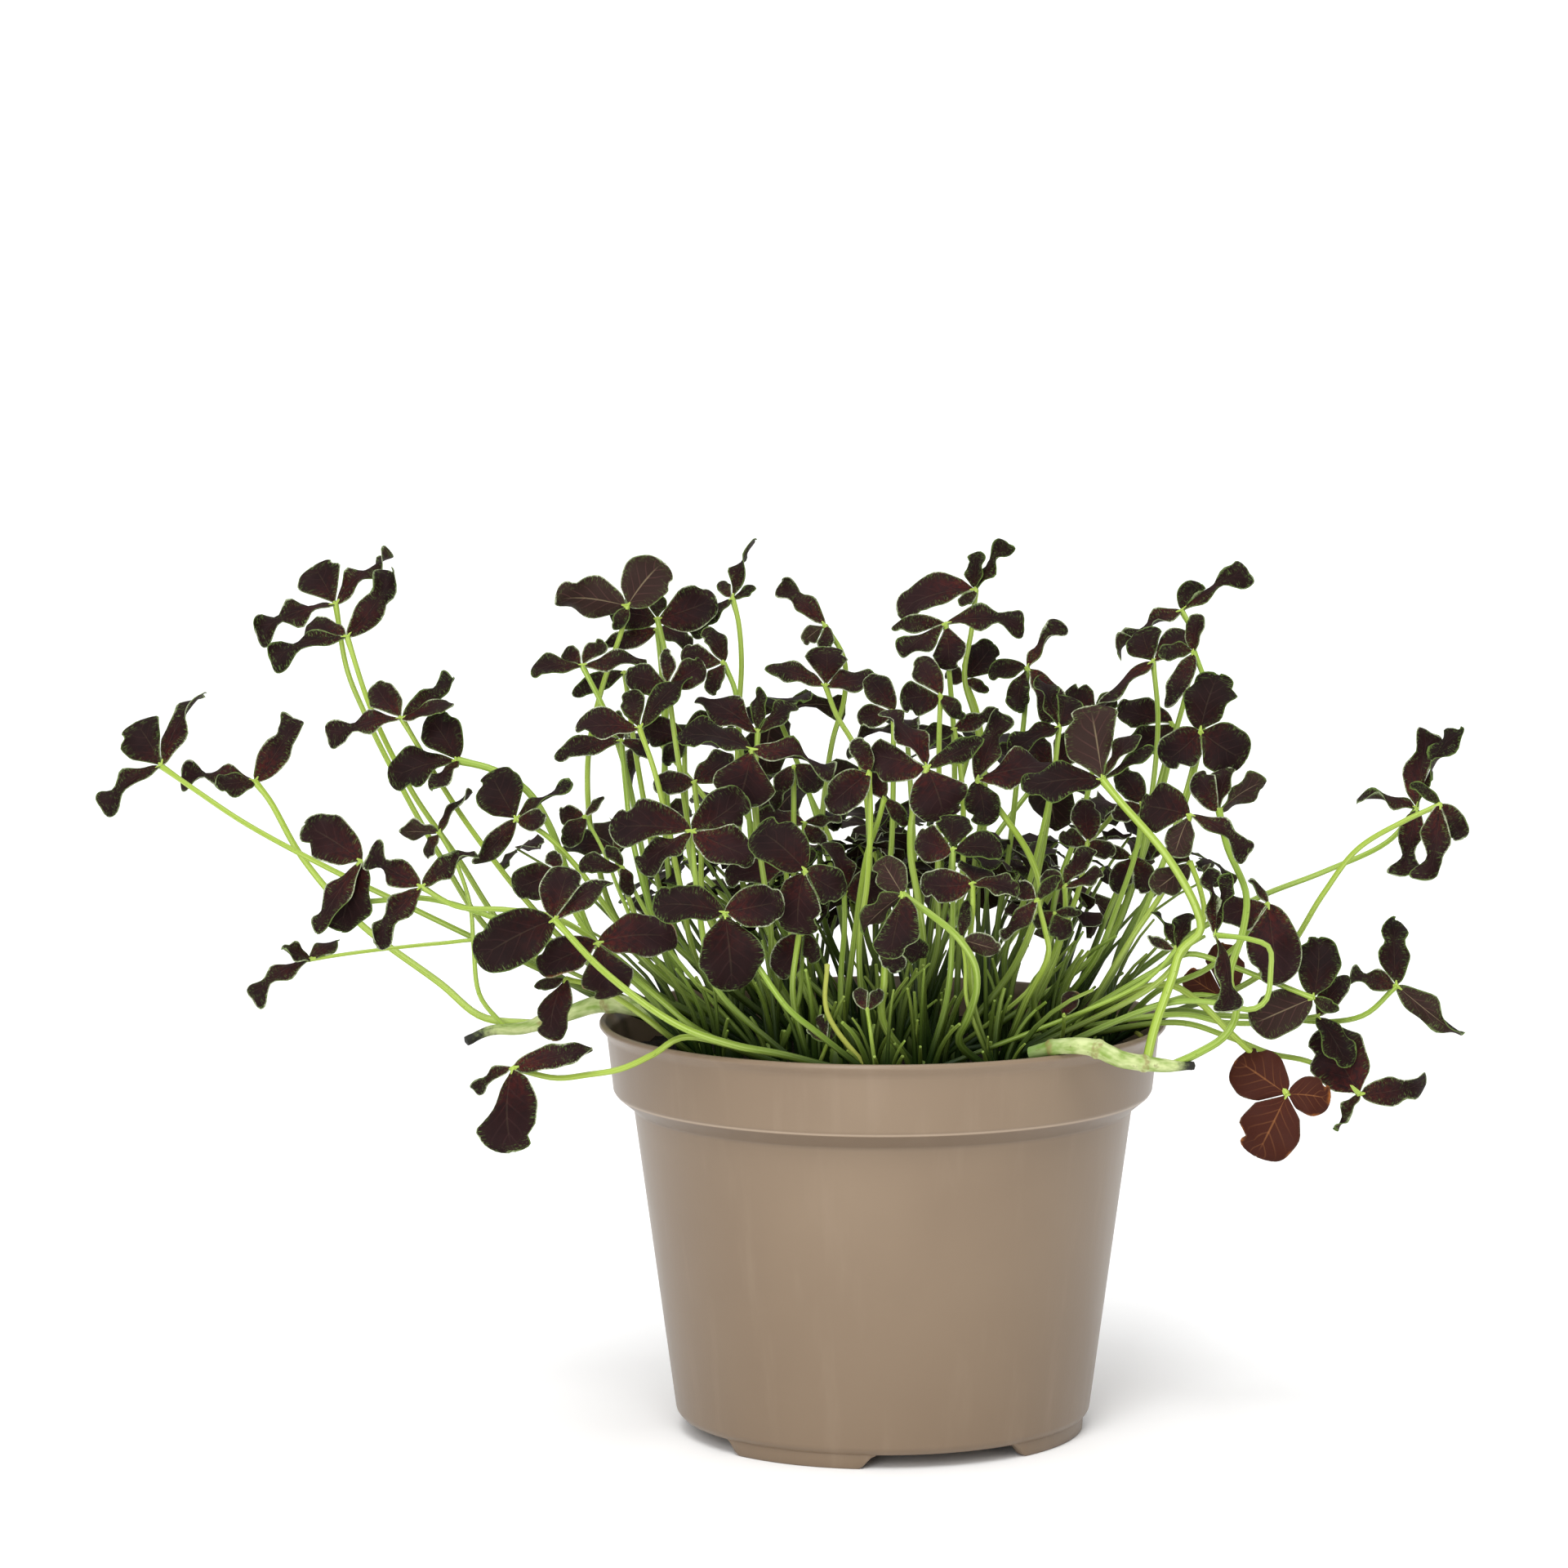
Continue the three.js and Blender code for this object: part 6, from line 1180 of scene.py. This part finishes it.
def leaf_finish():
    """Leaflets: nearly black brown with a red glow at the base, fine veins that slope forward from the
    rib, a thin pale ragged margin with green specks inside it, and a greyer underside with a pale rib.
    Dry ones turn rust brown with lighter veins, and wither to brown and orange in places."""
    paint = Paint("leaf", Specular_IOR_Level=0.07)
    along, across, margin = paint.attribute("place")
    tone, under, dry = paint.attribute("finish")
    place = paint.place()
    blotch = paint.noise(place, 170.0, 3.0)
    fine = paint.noise(place, FINE_GRAIN, 2.0)
    hairs = paint.noise(paint.joined(along * 26.0, across * 0.7, tone * 40.0), 4.0, 2.0)
    grain = paint.noise(paint.joined(along * 5.0, across * 1.5, tone * 40.0), 3.0, 2.0)
    glow = along.ramp(0.75, 0.02) * (tone * 0.5 + 0.08) * grain.ramp(0.3, 0.75) * (1 - under * 0.7)
    face = paint.mix(tone, BROWN, BURGUNDY)
    face = paint.mix(blotch.ramp(0.35, 0.75, 0.0, 0.6), face, NEAR_BLACK)
    face = paint.mix(glow, face, RED_GLOW)
    face = paint.mix(under * 0.75, face, UNDERSIDE)
    slope = (along * VEINS_ALONG - abs(across) * VEINS_ACROSS).sine()
    veins = slope.ramp(0.8, 1.0) * abs(across).ramp(0.98, 0.1)
    face = paint.mix(veins * (under * 0.22 + 0.07), face, VEIN)
    rib = abs(across).ramp(0.05, 0.012) * along.ramp(0.97, 0.6)
    face = paint.mix(rib * (under * 0.55 + 0.06), face, RIB)
    rust = dry.ramp(0.5, 1.0) * (0.6 + blotch * 0.4)
    face = paint.mix(rust, face, RUST)
    face = paint.mix(rust * (rib + veins * 0.4) * 0.6, face, RUSTY_VEIN)
    specks = margin.ramp(2.4, 0.1) * hairs.ramp(0.5, 0.68) * fine.ramp(0.38, 0.6) * (1 - dry)
    face = paint.mix(specks * 0.75, face, GREEN_SPECK)
    fringe = (margin + hairs * 0.7 + fine * 0.5).ramp(0.92, 0.6)
    edge = paint.mix(blotch.ramp(0.35, 0.6) * tone.ramp(0.1, 0.8), GREEN_FRINGE, PALE_FRINGE)
    face = paint.mix(fringe * (0.85 - dry * 0.75), face, edge)
    withered = dry * (blotch * 1.9 + along * 0.6 - margin * 0.4).ramp(1.35, 1.8)
    face = paint.mix(withered, face, paint.mix(fine, WITHERED, WITHERED_LIGHT))
    rough = 0.5 + blotch * 0.2
    height = veins * 0.5 + fine * 0.35 + rib * (1 - under * 2.0)
    return paint.finish(Base_Color=face, Roughness=rough, Normal=paint.bump(height, 0.00014, 0.7))


def stalk_finish():
    """Stalks: deep green darkened by painted shade where they leave the soil, yellow-green above, with pale
    lengthwise streaks that also stand in as painted highlights, specks, and a dull yellow where the tone is
    below zero."""
    paint = Paint("stalk", Specular_IOR_Level=0.22)
    along, tone, around = paint.attribute("place")
    place = paint.place()
    streak = paint.noise(paint.joined(along * 2.0, around * 9.0, tone * 60.0), 1.6, 3.0)
    fine = paint.noise(place, FINE_GRAIN, 2.0)
    # Painted shade: each stalk runs from the dark foot colour up to yellow-green
    colour = paint.mix(along.ramp(0.05, 0.7), STALK_FOOT_GREEN_AND_SHADE, STALK_GREEN)
    colour = paint.mix(tone * 0.5 * along.ramp(0.1, 0.5), colour, STALK_DEEP_GREEN)
    # Pale lengthwise streaks that also stand in as painted highlights
    light = streak.ramp(0.4, 0.7) * along.ramp(0.05, 0.6)
    colour = paint.mix(light * 0.5, colour, STALK_STREAK_AND_HIGHLIGHT)
    colour = paint.mix(fine.ramp(0.66, 0.74) * 0.4, colour, STALK_SPECK)
    colour = paint.mix(tone.ramp(-0.4, -0.6), colour, STALK_YELLOW)
    return paint.finish(Base_Color=colour, Roughness=0.4 + streak * 0.15,
                        Normal=paint.bump(streak * 0.7 + fine * 0.3, 0.00015, 0.5))


def creeper_finish():
    """Creeping stems: whitish green with greener streaks, green at the foot, brown specks, rings at the
    joints, and a nearly black tip."""
    paint = Paint("creeper", Specular_IOR_Level=0.3)
    along, tone, around = paint.attribute("place")
    place = paint.place()
    fine = paint.noise(place, 900.0, 3.0)
    streak = paint.noise(paint.joined(along * 5.0, around * 3.0, tone), 2.0, 2.0)
    colour = paint.mix(streak.ramp(0.25, 0.7), CREEPER_GREEN, CREEPER_PALE)
    colour = paint.mix((1 - along.ramp(0.0, 0.35)) * 0.7, colour, CREEPER_FOOT)
    colour = paint.mix(fine.ramp(0.6, 0.75) * 0.6, colour, CREEPER_SPECK)
    joint = ((along * JOINT_BEATS).sine() ** 2).ramp(0.9, 0.99) * fine.ramp(0.35, 0.6)
    colour = paint.mix(joint * 0.7, colour, CREEPER_RING)
    tip = (along + fine * 0.12).ramp(0.93, 1.03)
    colour = paint.mix(tip, colour, CREEPER_TIP)
    return paint.finish(Base_Color=colour, Roughness=0.45 + fine * 0.2,
                        Normal=paint.bump(streak, 0.0003, 0.5))


def plastic_finish():
    """Moulded plastic: a taupe with a little cloudiness, a very fine grain and faint upright flow lines.
    Painted shade darkens it towards the bottom and on the step under the band, and a painted highlight runs
    along the band's lower edge."""
    step, edge = SHELF * MM, BAND_BOTTOM * MM
    paint = Paint("pot_plastic", Specular_IOR_Level=0.36)
    place = paint.place()
    cloud = paint.noise(place, 14.0, 3.0)
    grain = paint.noise(place, 2600.0, 2.0)
    height = paint.add("ShaderNodeSeparateXYZ", {}, {0: place}, 2)
    scuff = paint.noise(paint.add("ShaderNodeMapping", {}, {0: place, 3: (160.0, 160.0, 12.0)}), 1.0, 4.0)
    colour = paint.mix(cloud.ramp(0.3, 0.7), TAUPE, TAUPE_LIGHT)
    # Painted shade: the body darker towards the bottom
    colour = paint.mix(height.ramp(0.075, 0.0) * 0.5, colour, TAUPE_LOW_SHADE)
    colour = paint.mix(scuff.ramp(0.5, 0.8) * 0.18, colour, SCUFF)
    # Painted shade on the step just under the band
    under = height.ramp(step - 0.8 * MM, step + 0.4 * MM) * height.ramp(edge, edge - 0.3 * MM)
    colour = paint.mix(under * 0.5, colour, STEP_SHADE)
    # Painted highlight: a thin light line along the band's lower edge
    line = height.ramp(edge - 0.1 * MM, edge + 0.1 * MM) * height.ramp(edge + 0.6 * MM, edge + 0.3 * MM)
    colour = paint.mix(line * 0.5, colour, EDGE_HIGHLIGHT)
    return paint.finish(Base_Color=colour, Roughness=0.3 + scuff * 0.12,
                        Normal=paint.bump(grain * 0.6 + scuff * 0.4, 0.00006, 0.5))


def soil_finish():
    """Damp potting soil: almost black crumbs with brown fibres and a few pale grains."""
    paint = Paint("soil", Specular_IOR_Level=0.2)
    place = paint.place()
    crumb = paint.noise(place, 420.0, 5.0, 0.7)
    cell = paint.noise(place, 90.0, 2.0)
    colour = paint.mix(crumb.ramp(0.35, 0.65), SOIL_BLACK, SOIL_BROWN)
    colour = paint.mix(cell.ramp(0.55, 0.7) * 0.5, colour, SOIL_FIBRE)
    return paint.finish(Base_Color=colour, Roughness=0.8 + cell * 0.15, Normal=paint.bump(crumb, 0.0012, 0.9))


def floor_finish():
    """The floor: plain and pale, with a barely seen unevenness."""
    paint = Paint("pale_floor", Specular_IOR_Level=0.1)
    cloud = paint.noise(paint.place(), 3.0, 2.0)
    colour = paint.mix(cloud * 0.3, FLOOR_LIGHT, FLOOR_CLOUD)
    return paint.finish(Base_Color=colour, Roughness=0.7)


LEAF, STALK, CREEPER = leaf_finish(), stalk_finish(), creeper_finish()
PLASTIC, EARTH = plastic_finish(), soil_finish()


# Pieces

def worn(piece, slot, *nodes):
    """A finished piece rides on the model's one body and stands for its solids. Its slot is not used."""
    piece.data.set_sharp_from_angle(angle=np.radians(SHARP_ANGLE))
    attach(piece, "root")
    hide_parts(*nodes)


def make_pot():
    """The pot's walls with their drain holes, and its feet."""
    walls = Shell()
    walls.add(*revolved(pot_profile(), POT_SIDES))
    pot = walls.piece("pot_walls", PLASTIC)
    cut_drain_holes(pot)
    worn(pot, "plastic", "pot")
    feet = Shell()
    for k in range(FOOT_COUNT):
        feet.add(*foot_shell(FIRST_FOOT + 360 / FOOT_COUNT * k))
    worn(feet.piece("pot_feet", PLASTIC), "plastic", "pot")


def make_soil():
    """The soil's bed."""
    soil = Shell()
    soil.add(*soil_surface())
    worn(soil.piece("soil_bed", EARTH), "soil", "soil")


def add_stalk(stalks, path, radii, sides, tone, colours=WHOLE_STALK):
    """Adds a tube that takes a stretch of a stalk's run of colours."""
    points, quads, fans, values = tube(path, radii, sides, tone)
    low, high = colours
    values[:, 0] = low + (high - low) * values[:, 0]
    stalks.add(points, quads, fans, place=values)


def add_leaflets(leaflets, blades, draw, dry=0.0, margin=1.0):
    """Adds a leaf's leaflets, each kept clear of the others. A larger margin thins their pale fringe."""
    for blade in blades:
        others = [other["axis"] for other in blades if other is not blade]
        points, quads, values = blade_shell(blade, others, draw, dry)
        values["place"][:, 2] *= margin
        leaflets.add(points, quads, **values)


def add_leaf(stalks, leaflets, leaf, colours):
    """Adds a leaf: its stalk, its leaflets, and a short stalk along the start of each leaflet's rib. A
    stalk without leaflets is yellow."""
    draw = np.random.default_rng(int(leaf["joint"][0] * 100) % LEAF_SEEDS)
    reach = np.linalg.norm(np.diff(leaf["points"], axis=0), axis=1).sum()
    steps = int(max(STALK_LEAST_STEPS, reach / STALK_STEP))
    share = np.linspace(0, 1, steps + 1)
    taper = STALK_FOOT - STALK_TAPER * share + STALK_FLARE * smooth_step(share, STALK_FLARE_START, 1)
    tone = draw.uniform(0, 1) if leaf["blades"] else YELLOW
    add_stalk(stalks, smooth_curve(leaf["points"], steps), leaf["wide"] / 2 * STALK_SHARE * taper,
              STALK_SIDES, tone, colours)
    add_leaflets(leaflets, leaf["blades"], draw, leaf["dry"])
    for blade in leaf["blades"]:
        start = blade_rib(blade, np.linspace(0, BLADE_STALK_REACH, BLADE_STALK_STATIONS)[:, None])
        radii = np.linspace(*BLADE_STALK_RADII, BLADE_STALK_STATIONS)
        add_stalk(stalks, start, radii, SHOOT_SIDES, BLADE_STALK_TONE, BLADE_STALK_COLOURS)


def shoot_path(root, lean, length):
    """A side shoot that rises and leans over as it goes: at a share s of its way it is
    length * (s - droop * s^2) up and length * s^bend along its lean."""
    share = np.linspace(0, 1, SHOOT_STATIONS)[:, None]
    up = np.array([0, 0, 1.0]) * length * (share - SHOOT_DROOP * share ** 2)
    return root + up + lean * length * share ** SHOOT_BEND


def add_crown(stalks, leaflets, name):
    """Adds the low knob that a crown's stalks rise from, and its side shoots, which lean outwards. Long
    shoots in the rear half end in small young leaves."""
    centre = crown_place(name)
    knob = np.array([[centre[0], centre[1], height] for height in KNOB_HEIGHTS])
    add_stalk(stalks, knob, KNOB_RADII, KNOB_SIDES, KNOB_TONE, SHADED_KNOB_COLOURS)
    draw = np.random.default_rng(int(name[-2:]))
    rear = centre[1] > REAR_START
    longest = REAR_SHOOT_LONGEST if rear else SHOOT_LONGEST
    for _ in range(SHOOTS_PER_CROWN):
        angle, lean = draw.uniform(0, 2 * np.pi), draw.uniform(*SHOOT_LEAN)
        way = np.array([np.cos(angle), np.sin(angle), 0])
        outward = centre / LIP_RADIUS * SHOOT_OUTWARD + lean * way
        root = centre + SHOOT_RING * way + [0, 0, SOIL_TOP - SHOOT_DEPTH]
        length, width = draw.uniform(SHOOT_SHORTEST, longest), draw.uniform(*SHOOT_WIDTH)
        path = shoot_path(root, outward, length)
        radii = width / 2 * np.linspace(1.0, SHOOT_TAPER, SHOOT_STATIONS)
        add_stalk(stalks, path, radii, SHOOT_SIDES, draw.uniform(0, 1), SHADED_SHOOT_COLOURS)
        if rear and length > YOUNG_STALK:
            seed, size = int(draw.integers(1, YOUNG_SEEDS)), draw.uniform(*YOUNG_SIZE)
            young = free_blades(path[-1], seed, size, YOUNG_GRID)
            add_leaflets(leaflets, young, draw, margin=YOUNG_MARGIN)


def make_creeping_stem(name):
    """A creeping stem: a tube through its stations, a little thicker at its joints."""
    widths = np.array(STOLONS[name])[:, 3]
    place = np.linspace(0, len(widths) - 1, STEM_STEPS + 1)
    width = np.interp(place, np.arange(len(widths)), widths)
    from_joint = place % JOINT_SPACING / JOINT_SPACING - 0.5
    swell = 1 + JOINT_SWELL * np.exp(-(from_joint / JOINT_REACH) ** 2)
    path = stolon_path(name, STEM_STEPS)
    points, quads, fans, values = tube(path, width / 2 * STEM_SHARE * swell, STEM_SIDES)
    stem = Shell()
    stem.add(points, quads, fans, place=values)
    worn(stem.piece(name + "_stem", CREEPER), "stalk", name)


def make_plant(name, leaves):
    """A crown or a creeping stem with the leaves that it carries: a piece of stalks and one of leaflets."""
    stalks, leaflets = Shell(), Shell()
    crown = name.startswith("crown")
    for leaf in leaves:
        add_leaf(stalks, leaflets, leaf, WHOLE_STALK if crown else STEM_STALK_COLOURS)
    if crown:
        add_crown(stalks, leaflets, name)
    else:
        make_creeping_stem(name)
    if name == "stolon_right":
        fallen = smooth_curve([seen_point(*station) for station in FALLEN_STALK], FALLEN_STEPS)
        add_stalk(stalks, fallen, np.linspace(*FALLEN_RADII, FALLEN_STEPS + 1), STALK_SIDES, YELLOW)
    worn(stalks.piece(name + "_stalks", STALK), "stalk", name)
    if leaflets.count:
        worn(leaflets.piece(name + "_leaflets", LEAF), "leaf", name)


# Surroundings

def white_studio():
    """A white world. Its strength grows evenly with height from the horizon to the zenith, and a bright
    band under and just over the horizon keeps the floor's far edge white."""
    world = bpy.data.worlds.new("white_studio")
    world.use_nodes = True
    tree = world.node_tree
    way = tree.nodes.new("ShaderNodeSeparateXYZ")
    tree.links.new(tree.nodes.new("ShaderNodeTexCoord").outputs["Generated"], way.inputs[0])
    brightest = tree.nodes.new("ShaderNodeMath")
    brightest.operation = "MAXIMUM"
    for k, span in enumerate(((0, 1, HORIZON_STRENGTH, ZENITH_STRENGTH), (*BAND_FADE, BAND_STRENGTH, 0))):
        strength = tree.nodes.new("ShaderNodeMapRange")
        for socket, value in zip(("From Min", "From Max", "To Min", "To Max"), span):
            strength.inputs[socket].default_value = value
        tree.links.new(way.outputs["Z"], strength.inputs["Value"])
        tree.links.new(strength.outputs[0], brightest.inputs[k])
    background = tree.nodes["Background"]
    background.inputs["Color"].default_value = (1, 1, 1, 1)
    tree.links.new(brightest.outputs[0], background.inputs["Strength"])
    return world


def add_light(name, kind, turn, place=(0, 0, 0), **settings):
    """A light of a kind with its settings, at a place in metres and turned by degrees about X, Y and Z."""
    lamp = bpy.data.lights.new(name, kind)
    for key, value in settings.items():
        setattr(lamp, key, value)
    light = bpy.data.objects.new(name, lamp)
    light.location = place
    light.rotation_euler = np.radians(turn)
    bpy.context.scene.collection.objects.link(light)


def front_camera():
    """The camera of the front view: tilted down by the view's tilt, and shifted to put the pot's axis at
    its column."""
    lens = bpy.data.cameras.new("front_view")
    lens.sensor_width = SENSOR_WIDTH
    lens.lens = VIEW_FOCAL / VIEW_SIDE * SENSOR_WIDTH
    lens.shift_x = (VIEW_SIDE / 2 - AXIS_COLUMN) / VIEW_SIDE
    lens.clip_end = SIGHT
    camera = bpy.data.objects.new("front_view", lens)
    camera.location = (POT_AXIS[0], POT_AXIS[1] - VIEW_DISTANCE * MM, VIEW_HEIGHT * MM)
    camera.rotation_euler = (np.pi / 2 - VIEW_TILT, 0, 0)
    bpy.context.scene.collection.objects.link(camera)
    return camera


# Scene

make_pot()
make_soil()

plant_names = sorted(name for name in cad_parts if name.startswith(("crown", "stolon")))
corners, owners = plant_corners(plant_names)
hidden = [{"at": (column, row), "back": back, "seed": HIDDEN_SEED + k}
          for k, (column, row, back) in enumerate(HIDDEN_LEAVES)]
settled = [settle(leaf, plant_names, corners, owners) for leaf in LEAVES + hidden]
for plant_name in plant_names:
    make_plant(plant_name, [leaf for leaf in settled if leaf["plant"] == plant_name])

floor_corners = [(-FLOOR_SIDE, FLOOR_FRONT, 0), (FLOOR_SIDE, FLOOR_FRONT, 0),
                 (FLOOR_SIDE, FLOOR_BACK, 0), (-FLOOR_SIDE, FLOOR_BACK, 0)]
floor = mesh_piece("floor", floor_corners, [[0, 1, 2, 3]], material=floor_finish())

scene = bpy.context.scene
scene.world = white_studio()
scene.view_settings.view_transform = "Standard"
add_light("soft_sun", "SUN", SUN_TURN, energy=SUN_STRENGTH, angle=np.radians(SUN_WIDTH))
add_light("front_light", "AREA", FRONT_LIGHT_TURN, FRONT_LIGHT_PLACE, shape="RECTANGLE",
          size=FRONT_LIGHT_SIZE[0], size_y=FRONT_LIGHT_SIZE[1], energy=FRONT_LIGHT_POWER)
scene.camera = front_camera()

bpy.context.view_layer.update()
